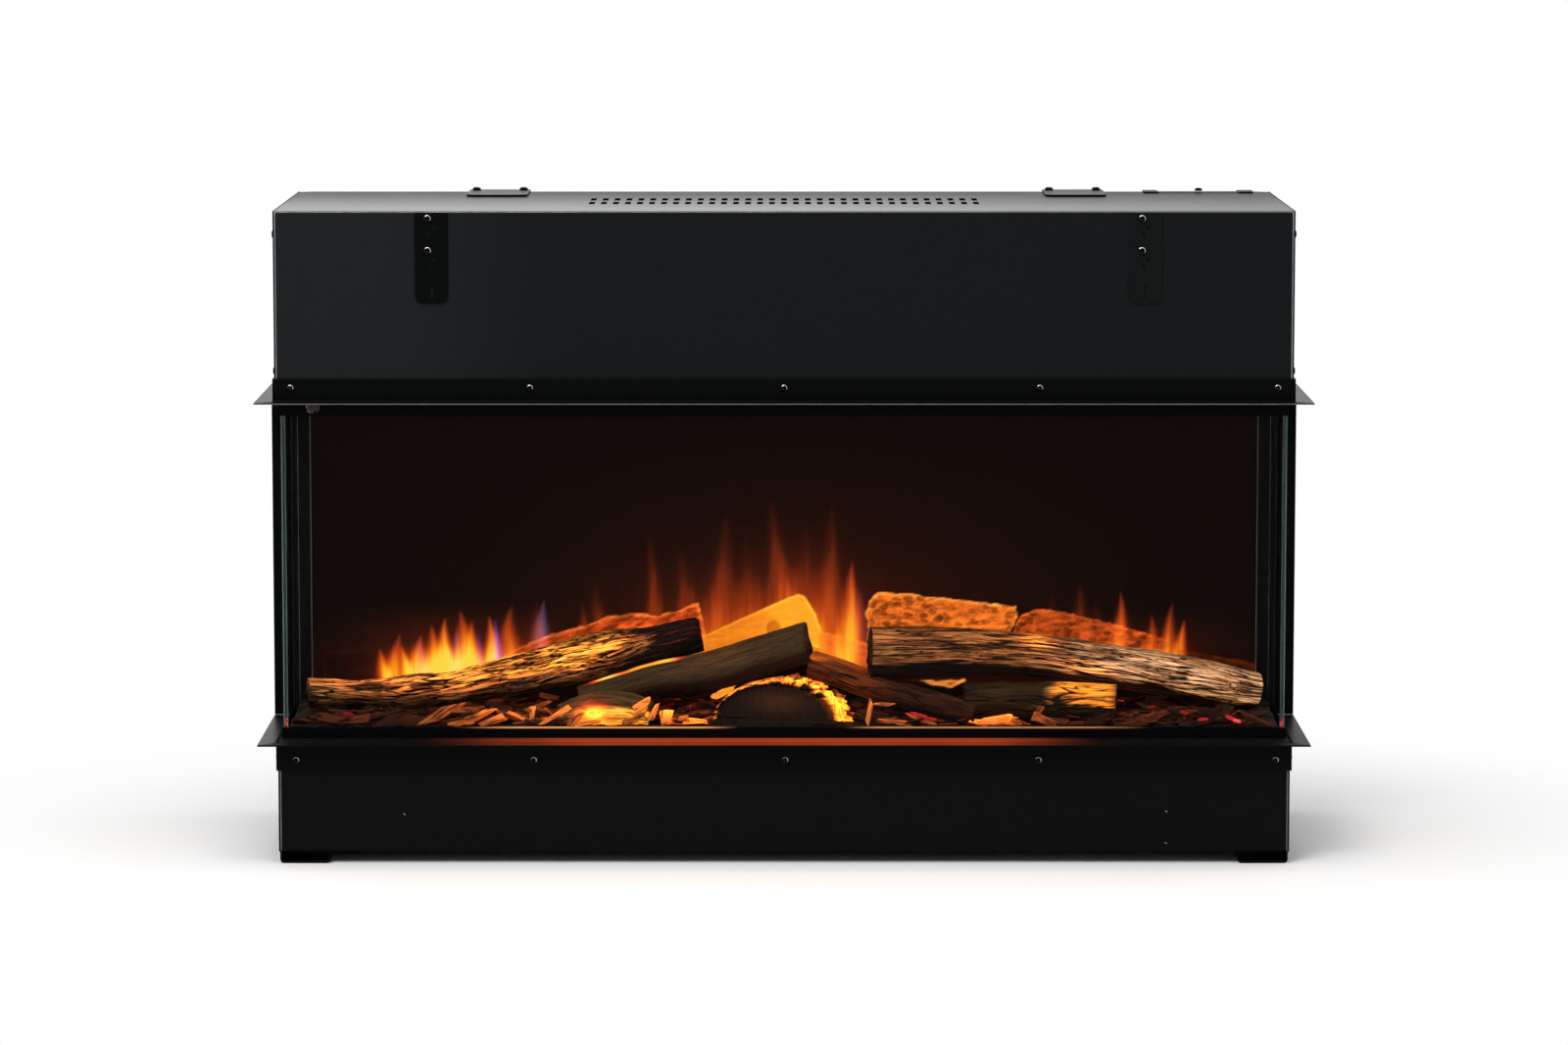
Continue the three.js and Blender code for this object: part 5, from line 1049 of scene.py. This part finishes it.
# Many small bodies in one mesh. Each is a rounded box, whose point at angles a and b is its half
# size times the sine and cosine raised to a low power, then bent, leaned, rolled, turned and placed.
def scatter(places, sizes, turns, leans, rolls, curls, power, chance, ragged):
    a = np.linspace(-np.pi / 2, np.pi / 2, 6)[1:-1, None]
    b = np.linspace(0, 2 * np.pi, 8, endpoint=False)[None, :] + 0.4

    def bent(values):
        return np.sign(values) * np.abs(values) ** power

    rings = np.stack(np.broadcast_arrays(
        bent(np.sin(a)), bent(np.cos(a)) * bent(np.cos(b)), bent(np.cos(a)) * bent(np.sin(b))), -1).reshape(-1, 3)
    unit = np.concatenate([rings, [[-1, 0, 0], [1, 0, 0]]])
    local = unit[None] * sizes[:, None, :]
    local *= 1 + ragged * (chance.random(local.shape) - 0.5)
    # A slanted break at each end, and a taper
    slant = chance.normal(0, 1.3, (len(sizes), 1))
    local[..., 0] += slant * local[..., 1] * (0.5 + 0.5 * np.abs(unit[None, :, 0]))
    local[..., 1] *= 1 + chance.uniform(-0.45, 0.45, (len(sizes), 1)) * unit[None, :, 0]
    local[..., 2] += curls[:, None] * local[..., 0] ** 2
    grain = local + chance.uniform(0, 1, (len(sizes), 1, 3))
    points = local.copy()
    for one, other, angles in ((1, 2, rolls), (0, 2, leans), (0, 1, turns)):
        cos, sin = np.cos(angles)[:, None], np.sin(angles)[:, None]
        first, second = points[..., one].copy(), points[..., other].copy()
        points[..., one], points[..., other] = first * cos - second * sin, first * sin + second * cos
    edge = 0.0004
    points = np.clip(points + places[:, None, :], (-bedHalf + edge, bedFront + edge, plinthTop + 0.002),
                     (bedHalf - edge, bedBack - edge, np.inf))
    offsets = (np.arange(len(sizes)) * len(unit))[:, None, None]
    faces = [(face[None] + offsets).reshape(-1, face.shape[1]) for face in tubeFaces(a.size, b.size)]
    return points, faces, grain


# Chips that show singly: x and z of the middle, half length and half width in millimetres, lean in
# degrees, how much light falls on the chip and how pale it is. The paleness is painted light: it
# rises and falls with the light.
placedChips = (
    (-121, 144, 8, 6, 84, 1.0, 1.0), (-134, 150, 9, 2.6, 66, 0.9, 0.9), (-112, 139, 12, 2, 6, 1.0, 1.0),
    (-97, 138.6, 15, 1.5, 2, 1.0, 1.0), (-89, 140.5, 10, 2, -8, 1.0, 1.0), (-107, 143, 9, 2.6, 12, 0.6, 0.6),
    (-269, 143, 16, 2, -25, 0.5, 0.8), (-236, 146, 18, 2.4, 30, 0.55, 0.9), (-259, 149, 7, 3, 86, 0.5, 0.8),
    (-253, 156, 14, 2.2, 22, 0.3, 0.5), (-316, 145, 18, 4.2, 27, 0.55, 0.7), (-300, 141, 14, 3.5, 20, 0.5, 0.8),
    (-333, 138.6, 14, 2.6, 8, 0.42, 0.6), (-353, 148, 18, 5, 31, 0.34, 0.6), (-326, 152, 14, 3, 4, 0.4, 0.5),
    (-214, 142, 10, 3, 50, 0.6, 0.7), (-202, 138, 14, 2, 10, 0.7, 0.8), (-152, 151, 13, 7, 24, 0.66, 0.8),
    (-158, 141, 10, 5, 42, 0.6, 0.7), (88, 149, 12, 2.6, 80, 0.45, 0.8), (102, 158, 10, 1.6, -3, 0.4, 0.8),
    (115, 138.6, 16, 2.6, -5, 0.4, 0.6), (143, 141, 17, 2, -20, 0.3, 0.6), (217, 141, 16, 4.4, 3, 1.0, 1.0),
    (203, 139, 10, 3, -10, 1.0, 1.0), (230, 144, 9, 2.2, -8, 0.9, 0.95), (236, 138.4, 10, 2.6, -15, 0.65, 0.7),
    (269, 141, 14, 4, -25, 0.4, 0.6), (261, 148, 9, 3, 60, 0.36, 0.5), (357, 139.5, 18, 4, 6, 0.2, 0.3),
    (381, 145, 10, 5, 10, 0.22, 0.34), (-464, 142, 14, 4, -8, 0.14, 0.28), (-438, 142, 11, 4, 10, 0.24, 0.34),
    (-388, 139.5, 16, 4, -4, 0.16, 0.2), (-408, 141, 12, 4, 14, 0.1, 0.12), (444, 146, 12, 6, -38, 0.03, 0.05),
    (405, 150, 12, 3, -12, 0.05, 0.08), (320, 141, 12, 4, 10, 0.08, 0.12),
)
# Loose chips: a third are long slips, a quarter are plates and the rest are thin splinters
looseChips = {
    "count": 640, "slipsBelow": 0.33, "platesAbove": 0.75, "inFront": 0.6, "splinterThickness": 0.0007,
    "sizes": {
        "long": (0.01, 0.02), "short": (0.005, 0.011), "slipWidth": (0.002, 0.004), "plateWidth": (0.0035, 0.0065),
        "splinterWidth": (0.0006, 0.0015), "thickness": (0.0009, 0.0022)},
    "turn": 0.42, "lean": 0.26, "steepest": 0.36, "roll": 1.1, "curl": 5,
}
chipForm = {"power": 0.22, "ragged": 0.22, "thickness": 0.0016, "tones": ((206, 134, 64), (200, 104, 46), (9, 3, 2))}


# A scattering over the whole bed that leaves the half log and the low log free, by its values
def looseBark(chance):
    count = looseChips["count"]
    x = chance.uniform(-bedHalf + 0.012, bedHalf - 0.012, count)
    inFront = chance.random(count) < looseChips["inFront"]
    y = np.where(inFront, bedFront + 0.005 + 0.05 * chance.random(count), chance.uniform(bedFront, bedBack, count))
    kind = chance.random(count)
    slip, plate = kind < looseChips["slipsBelow"], kind > looseChips["platesAbove"]
    drawn = {label: chance.uniform(*span, count) for label, span in looseChips["sizes"].items()}
    sizes = np.stack([
        np.where(slip, drawn["long"], drawn["short"]),
        np.select([slip, plate], [drawn["slipWidth"], drawn["plateWidth"]], drawn["splinterWidth"]),
        np.where(slip | plate, drawn["thickness"], looseChips["splinterThickness"])], -1)
    turns = chance.normal(0, looseChips["turn"], count)
    leans = np.clip(chance.normal(0, looseChips["lean"], count), -looseChips["steepest"], looseChips["steepest"])
    rolls = chance.uniform(-looseChips["roll"], looseChips["roll"], count)
    curls = chance.normal(0, looseChips["curl"], count)
    reach = sizes[:, 0] * np.abs(np.sin(turns)) + sizes[:, 1] * np.abs(np.cos(rolls))
    y = np.clip(y, bedFront + 0.001 + reach, bedBack - 0.001 - reach)
    depth = y - bedFront
    lift = 0.005 * chance.random(count) * smoothStep(0.0, 0.03, depth) * smoothStep(0.1, 0.05, depth)
    z = bedHeight(x, y) + 0.001 + lift + sizes[:, 0] * np.abs(np.sin(leans)) * 0.5
    light = bells(x, bedLight) + bedLightBase
    amount = light * (0.06 + 0.9 * chance.random(count) ** 2.4) + 0.02 * chance.random(count)
    amount = amount * (1 - 0.75 * smoothStep(0.02, 0.055, depth))
    tone = 0.34 * chance.random(count) ** 2.4 + np.where(slip | plate, 0, 0.14)
    tone = tone * (1 - 0.4 * smoothStep(0.3, 0.4, np.abs(x)))
    ember = np.where(chance.random(count) < 0.02, 0.26, 0) * (np.abs(x) > 0.08)
    beforeHalfLog = (x > -0.094) & (x < 0.084) & (depth < 0.034)
    beforeLowLog = (x > -0.225) & (x < -0.135) & (depth < 0.02)
    keep = ~(beforeHalfLog | beforeLowLog)
    return [values[keep] for values in (
        np.stack([x, y, z], -1), sizes, turns, leans, rolls, curls, amount, tone, ember)]


# The placed chips stand just behind the pane. Their values come in the same order as the loose ones'.
def placedBark(chance):
    x, z, half, wide, lean, amount, tone = np.array(placedChips).T
    count = len(x)
    y = bedFront + 0.0035 + 0.004 * chance.random(count)
    turns = 0.12 * chance.normal(0, 1, count)
    rolls = np.pi / 2 - 0.35 * chance.random(count)
    curls = chance.normal(0, 3, count)
    sizes = np.stack([half / 1000, wide / 1000, np.full(count, chipForm["thickness"])], -1)
    return (np.stack([x / 1000, y, z / 1000], -1), sizes, turns, np.radians(lean), rolls, curls, amount,
            tone ** 1.7, np.zeros(count))


def makeChips():
    chance = np.random.default_rng(bed["seed"])
    loose = looseBark(chance)
    *shape, amount, tone, ember = [np.concatenate(pair) for pair in zip(placedBark(chance), loose)]
    points, faces, grain = scatter(*shape, chipForm["power"], chance, chipForm["ragged"])
    # The upper edge of a chip takes most of the light
    upper = (points[..., 2] - points[..., 2].min(1, keepdims=True)) / np.ptp(points[..., 2], axis=1, keepdims=True)
    glow = np.clip(amount[:, None] * (0.14 + 1.1 * upper ** 1.5), 0, 1)
    makeBits("barkChips", points, faces, grain, barkBits("chipBark", *chipForm["tones"]), tone[:, None], glow,
             ember[:, None], smooth=False)


makeChips()

# Embers: x, depth behind the casing front and z in millimetres, half length, half height, lean in
# degrees and heat
embers = (
    (-62, 96, 163, 11, 3.6, 30, 0.86), (-51, 96, 170.5, 7, 2, 34, 0.72), (-70, 94, 159, 5, 3, 10, 0.8),
    (139, 43, 147, 9, 1.6, -14, 0.24), (150, 42, 143, 7, 1.3, -10, 0.22), (410, 42, 149.5, 7, 1.9, -4, 0.2),
    (431, 42, 142.4, 4.5, 1.6, 4, 0.24), (460, 42, 143.5, 5, 2, -28, 0.26), (466, 41, 141, 4, 1.8, -14, 0.44),
    (-360, 50, 140, 6, 1.8, 8, 0.16), (-448, 50, 146, 6, 2.2, -12, 0.13), (378, 44, 155, 4, 1.5, 6, 0.14),
)
emberForm = {"power": 0.6, "ragged": 0.4, "seed": 3, "flatness": 0.6, "tones": ((70, 16, 14), (70, 16, 14), (30, 8, 7))}


def makeEmbers():
    x, y, z, half, tall, lean, heat = np.array(embers).T
    places = np.stack([x, y, z], -1) / 1000 + (0, frontY, 0)
    sizes = np.stack([half, emberForm["flatness"] * tall, tall], -1) / 1000
    none = np.zeros(len(x))
    points, faces, grain = scatter(places, sizes, none, np.radians(lean), none, none, emberForm["power"],
                                   np.random.default_rng(emberForm["seed"]), emberForm["ragged"])
    makeBits("embers", points, faces, grain, barkBits("emberGlass", *emberForm["tones"], emberStops),
             ember=heat[:, None])


makeEmbers()
print("bed, chips and embers built")


# Flames: tip x and z, foot x and z, half width, look and heat, in millimetres on the screen
flames = (
    (-427, 195, -417, 156, 6, "sharp", 0.85), (-407, 212, -413, 156, 9, "sharp", 0.66),
    (-402, 198, -396, 156, 7, "sharp", 1.1), (-386, 205, -378, 158, 8, "pink", 0.42),
    (-384, 210, -384, 158, 10, "sharp", 0.8), (-371, 220, -369, 158, 10, "sharp", 0.86),
    (-357, 228, -358, 158, 9, "sharp", 1.25), (-347, 216, -344, 158, 8, "pink", 0.4),
    (-340, 236, -338, 158, 13, "sharp", 0.95), (-328, 226, -326, 160, 9, "sharp", 0.9),
    (-322, 214, -319, 168, 4, "violet", 0.2), (-310, 230, -306, 164, 8, "sharp", 1.2),
    (-303, 226, -301, 172, 3.5, "violet", 0.75), (-287, 242, -291, 176, 11, "sharp", 0.6),
    (-258, 246, -261, 180, 12, "soft", 0.36), (-253, 246, -257, 196, 6, "pink", 0.5),
    (-252, 240, -253, 212, 3, "violet", 0.1), (-213, 246, -210, 200, 6, "soft", 0.3),
    (-197, 270, -194, 200, 9, "soft", 0.26), (-141, 322, -136, 190, 9, "soft", 0.36),
    (-108, 306, -104, 190, 15, "soft", 0.28), (-60, 348, -74, 170, 15, "soft", 0.36),
    (-40, 322, -40, 170, 15, "soft", 0.26), (-12, 360, 2, 180, 15, "soft", 0.42),
    (20, 330, 18, 200, 16, "soft", 0.18), (47, 356, 50, 160, 17, "soft", 0.38),
    (74, 288, 66, 172, 13.5, "sharp", 0.95), (36, 262, 34, 170, 12, "soft", 0.3),
    (282, 262, 283, 190, 7, "soft", 0.14), (310, 268, 313, 190, 9, "soft", 0.36),
    (329, 250, 331, 190, 8, "soft", 0.2), (354, 256, 353, 176, 9, "sharp", 0.78),
    (387, 232, 386, 170, 8, "sharp", 0.62), (411, 244, 398, 166, 9, "sharp", 0.74),
    (420, 226, 413, 164, 8, "sharp", 1.05),
)
flameTints = {"pink": (1.4, 2.0, 5.4), "violet": (0.7, 1.1, 15.0)}
# Colour of a flame by its heat
heatSteps = (0.0, 0.12, 0.3, 0.5, 0.7, 0.88, 1.1)
heatColours = np.array([tint(*colour) for colour in (
    (0, 0, 0), (62, 18, 5), (140, 46, 12), (204, 80, 18), (244, 128, 24), (255, 178, 32), (255, 214, 66))])

# Logs mirrored in the screen: outline in millimetres, colours of its edge and inside, and cover
mirrored = (
    ("far", ((-485, 191), (-430, 195), (-430, 158), (-485, 158)), (40, 15, 9), (20, 9, 6), 0.75),
    ("left", ((-301, 184), (-279, 196), (-257, 206), (-233, 214), (-207, 220), (-188, 229), (-155, 232),
              (-133, 230), (-114, 234), (-90, 244), (-84, 216), (-84, 206), (-104, 202), (-207, 178), (-301, 162)),
     (226, 104, 40), (172, 62, 20), 0.85),
    ("centre", ((-190, 150), (-150, 176), (-104, 199), (-86, 208), (-68, 216), (-42, 228), (-11, 242), (15, 253),
                (22, 250), (33, 232), (43, 204), (44, 193), (24, 199), (-28, 185), (-134, 158)),
     (248, 158, 36), (234, 134, 28), 0.97),
    ("behind", ((37, 213), (61, 208), (91, 200), (95, 165), (37, 183)), (206, 104, 34), (184, 82, 26), 0.85),
    ("spotted", ((88, 224), (86, 232), (90, 245), (98, 254), (120, 254), (149, 250), (189, 246), (221, 242),
                 (243, 239), (246, 233), (243, 220), (238, 214), (238, 189), (88, 189)),
     (246, 140, 50), (226, 106, 32), 1.0),
    ("tail", ((242, 220), (250, 230), (265, 237), (294, 234), (319, 228), (350, 220), (378, 212), (402, 204),
              (422, 193), (454, 187), (499, 178), (499, 150), (417, 163), (329, 178), (242, 188)),
     (214, 92, 34), (186, 74, 24), 0.95),
    ("gap", ((145, 161), (190, 161), (176, 153), (160, 155)), (250, 150, 62), (176, 92, 38), 1.0),
)


# Signed distance from grid points to a closed outline, less than nothing inside it
def outlineDistance(x, z, outline):
    near = np.full(x.shape, np.inf)
    inside = np.zeros(x.shape, bool)
    ring = np.array(outline) / 1000
    for (ax, az), (bx, bz) in zip(ring, np.roll(ring, -1, 0)):
        share = np.clip(((x - ax) * (bx - ax) + (z - az) * (bz - az)) / ((bx - ax) ** 2 + (bz - az) ** 2), 0, 1)
        near = np.minimum(near, np.hypot(x - ax - share * (bx - ax), z - az - share * (bz - az)))
        inside ^= ((az > z) != (bz > z)) & (x < (bx - ax) * (z - az) / (bz - az + 1e-12) + ax)
    return np.where(inside, -near, near)


# Distance to the nearest of one random point per cell, in cell sizes, for the honeycomb spots
def cellDistance(x, z, seed):
    i, j = np.floor(x).astype(np.int64), np.floor(z).astype(np.int64)
    near = np.full(x.shape, np.inf)
    for di in (-1, 0, 1):
        for dj in (-1, 0, 1):
            shiftX, shiftZ = [cornerValue(i + di, j + dj, np.full_like(i, axis), seed) for axis in (0, 1)]
            near = np.minimum(near, np.hypot(x - i - di - 0.2 - 0.6 * shiftX, z - j - dj - 0.2 - 0.6 * shiftZ))
    return near


# Layered noise over the screen, by the width and height of its cells
def screenNoise(x, z, width, height, seed, octaves):
    return layeredNoise(x / width, z / height, x * 0, seed, octaves)


# A flame narrows from foot to tip, sways a little, and is hottest low down in its middle
def flameHeat(x, z, tipX, tipZ, footX, footZ, wide, fade):
    share = (z - footZ) / (tipZ - footZ)
    rise = np.clip(share, 0, 1)
    sway = 0.16 * wide * np.sin(5 * share + footX * 190)
    sway = sway + 0.0018 * (softNoise(x * 0 + footX * 900, z / 0.03, x * 0) - 0.5)
    middle = footX + (tipX - footX) * rise ** 1.2 + sway
    width = wide * (1.05 - rise ** 1.15) * (0.9 + 0.3 * np.sin(np.pi * rise)) + 0.0007
    across = np.abs(x - middle) / width
    return np.exp(-1.15 * across ** 1.9) * (1 - rise) ** fade * (share < 1) * smoothStep(-0.35, 0.0, share)


# The light of one mirrored log, from its bark, its rim and its spots
def mirroredLight(name, x, z, edge, fill, far):
    bark = np.clip(1.8 * screenNoise(x, z, 0.011, 0.0032, 75, 4) - 0.4, 0, 1.2)
    rim = smoothStep(-0.0042, -0.0004, far)
    light = 0.7 + 0.6 * bark
    if name == "left":
        streak, patch = screenNoise(x, z - 0.3 * x, 0.009, 0.0035, 91, 4), screenNoise(x, z, 0.03, 0.012, 93, 2)
        light = (0.1 + 3.9 * streak ** 2 * (0.4 + 1.2 * patch)) * (0.8 + 0.4 * smoothStep(-0.26, -0.14, x)) + 0.3 * rim
    if name in ("spotted", "tail"):
        patch = screenNoise(x, z, 0.02, 0.014, 85, 2)
        cells = cellDistance(x / 0.0128 + 0.3 * bark, z / 0.0088 + 0.3 * bark, 81)
        spots = smoothStep(0.42, 0.3, cells) * smoothStep(0.38, 0.5, patch)
        light = (0.36 + 1.05 * bark) * (1 - 0.55 * spots) + 0.26 * bell(cells, 0.46, 0.05)
        light = (light + 0.2 * rim) * (0.1 + 0.9 * smoothStep(0.44, 0.36, x) if name == "tail" else 1.1)
    if name == "centre":
        hot = 0.6 * bell(x, 0.004, 0.034) * bell(z, 0.226, 0.04) + 0.34 * bell(x, 0.03, 0.015)
        dome = smoothStep(0.0088, 0.0064, np.hypot(x + 0.011, (z - 0.2155) * 0.8)) * (z > 0.208)
        patch = screenNoise(x, z, 0.026, 0.02, 97, 2)
        light = (0.6 + 0.36 * bark + 0.28 * patch + hot + 0.1 * rim) * (1 - 0.5 * dome)
        light = light * (0.84 + 0.18 * smoothStep(-0.09, -0.01, x))
    return blendIn(tint(*fill), tint(*edge), rim[..., None]) * light[..., None]


# Haze: height, middle and width in X, the heights in Z from nothing to full, and how sharply it grows
hazes = (
    (0.1, 0.0, 0.14, 0.34, 0.2, 1.5), (0.03, 0.02, 0.28, 0.48, 0.2, 1), (0.5, -0.352, 0.062, 0.204, 0.17, 1),
    (0.17, -0.34, 0.09, 0.25, 0.18, 1), (0.1, 0.38, 0.07, 0.24, 0.18, 1))
screen = {
    "sheet": (9, 4, 2), "columns": 690, "softEdges": ("centre", "behind"), "halo": (0.2, 0.024),
    # Heights between bands of the grid, and the lines in each band: they are closest over the flames
    "levels": (0.15, 0.27, 0.36), "lines": (9, 92, 30, 11),
    # Places in X with the tops of the logs before the screen, then with how far mirrored logs hide flames
    "logTops": ((-0.3, 0.15), (-0.1, 0.165), (0.035, 0.184), (0.09, 0.16), (0.2, 0.15)),
    "hidden": ((-0.3, 0.72), (-0.29, 0.5), (-0.09, 0.5), (-0.08, 0.72), (0.036, 0.72), (0.046, 0.3), (0.085, 0.3),
               (0.095, 0.72), (0.28, 0.72), (0.34, 0.25)),
}


# Adds up the light of the screen: a dark brown sheet, a warm haze, the mirrored logs and the flames
def screenLight(x, z):
    heat = sum(height * bell(x, middle, width) * smoothStep(top, full, z) ** power
               for height, middle, width, top, full, power in hazes)
    wave = screenNoise(x, z, 0.05, 0.06, 61, 3) - 0.5
    amount, reach = screen["halo"]
    centreOutline = {name: outline for name, outline, *_ in mirrored}["centre"]
    heat = heat + amount * np.exp(-np.maximum(outlineDistance(x, z, centreOutline), 0) / reach) * (1 + wave)
    coloured = 0
    for *form, look, strength in flames:
        fade = 1.0 if look == "soft" else 0.6
        flame = strength * flameHeat(x, z, *[value / 1000 for value in form], fade)
        if look in flameTints:
            coloured = coloured + flame[..., None] * tint(150, 84, 60) * flameTints[look]
        else:
            heat = heat + flame * (1 - 0.45 * np.clip(heat, 0, 1))
    heat = heat * (0.72 + 0.56 * screenNoise(x, z, 0.004, 0.05, 101, 3))
    # No light shows on the screen below the tops of the logs that stand before it
    heat = heat * smoothStep(0.0, 0.008, z - np.interp(x, *zip(*screen["logTops"])))
    glow = np.stack([np.interp(heat, heatSteps, channel) for channel in heatColours.T], -1) + coloured
    violet = 0.09 * bell(x, 0.081, 0.01) * bell(z, 0.215, 0.032)
    glow = glow + violet[..., None] * tint(150, 60, 120)
    rough = (screenNoise(x, z, 0.007, 0.004, 71, 3) - 0.5) * 0.004
    overlay, covered = np.zeros_like(glow), np.zeros_like(x)
    for name, outline, edge, fill, cover in mirrored:
        far = outlineDistance(x, z, outline) + rough * (0.25 if name in screen["softEdges"] else 1)
        mask = smoothStep(0.0009, -0.0009, far) * cover
        overlay = overlay * (1 - mask[..., None]) + mirroredLight(name, x, z, edge, fill, far) * mask[..., None]
        covered = np.maximum(covered * (1 - mask), mask)
    through = 1 - covered * np.interp(x, *zip(*screen["hidden"]))
    return np.clip(tint(*screen["sheet"]) * (1 - covered[..., None]) + overlay + glow * through[..., None], 0, 1)


# The screen is a plain sheet, whose front is cut into a fine grid. Its back and its four edges are
# a fan and a strip from the border of the front, joined to the same border set back.
def makeScreen():
    low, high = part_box("mirror_screen")
    levels = [low.z, *screen["levels"], high.z]
    bands = [np.linspace(*ends)[:-1] for ends in zip(levels, levels[1:], screen["lines"])]
    rows = np.concatenate([*bands, [high.z]])
    x, z = np.meshgrid(np.linspace(low.x, high.x, screen["columns"]), rows, indexing="ij")
    face = np.stack([x, np.full_like(x, low.y), z], -1).reshape(-1, 3)
    m, n = x.shape
    border = np.concatenate([
        np.arange(m) * n, (m - 1) * n + np.arange(1, n), np.arange(m - 2, -1, -1) * n + n - 1,
        np.arange(n - 2, 0, -1)])
    ids = len(face) + np.arange(len(border))
    after = np.roll(ids, -1)
    edges = np.stack([border, ids, after, np.roll(border, -1)], -1)
    fan = np.stack([after, np.full(len(ids), ids[-1] + 1), ids], -1)
    middle = [[0, high.y, (low.z + high.z) / 2]]
    vertices = np.concatenate([face, face[border] + (0, high.y - low.y, 0), middle])
    light = np.concatenate([screenLight(x, z).reshape(-1, 3), np.tile(tint(*screen["sheet"]), (len(border) + 1, 1))])
    piece = buildPiece("flameScreen", vertices, np.concatenate([gridQuads(m, n), edges]), fan, {"light": light}, False)
    mirror = Finish("smokedMirror", **{"Specular IOR Level": 0.02, "Emission Strength": 1.0})
    mirror.vary("Base Color", mirror.place.noise(30, 2).mixed((2, 1, 1), (5, 3, 2)))
    mirror.vary("Emission Color", mirror.reads("light", 1))
    mirror.vary("Roughness", mirror.place.noise(40, 2) * 0.06 + 0.1)
    fit(piece, mirror.material, replaces=["mirror_screen"])


makeScreen()
print("flame screen painted")
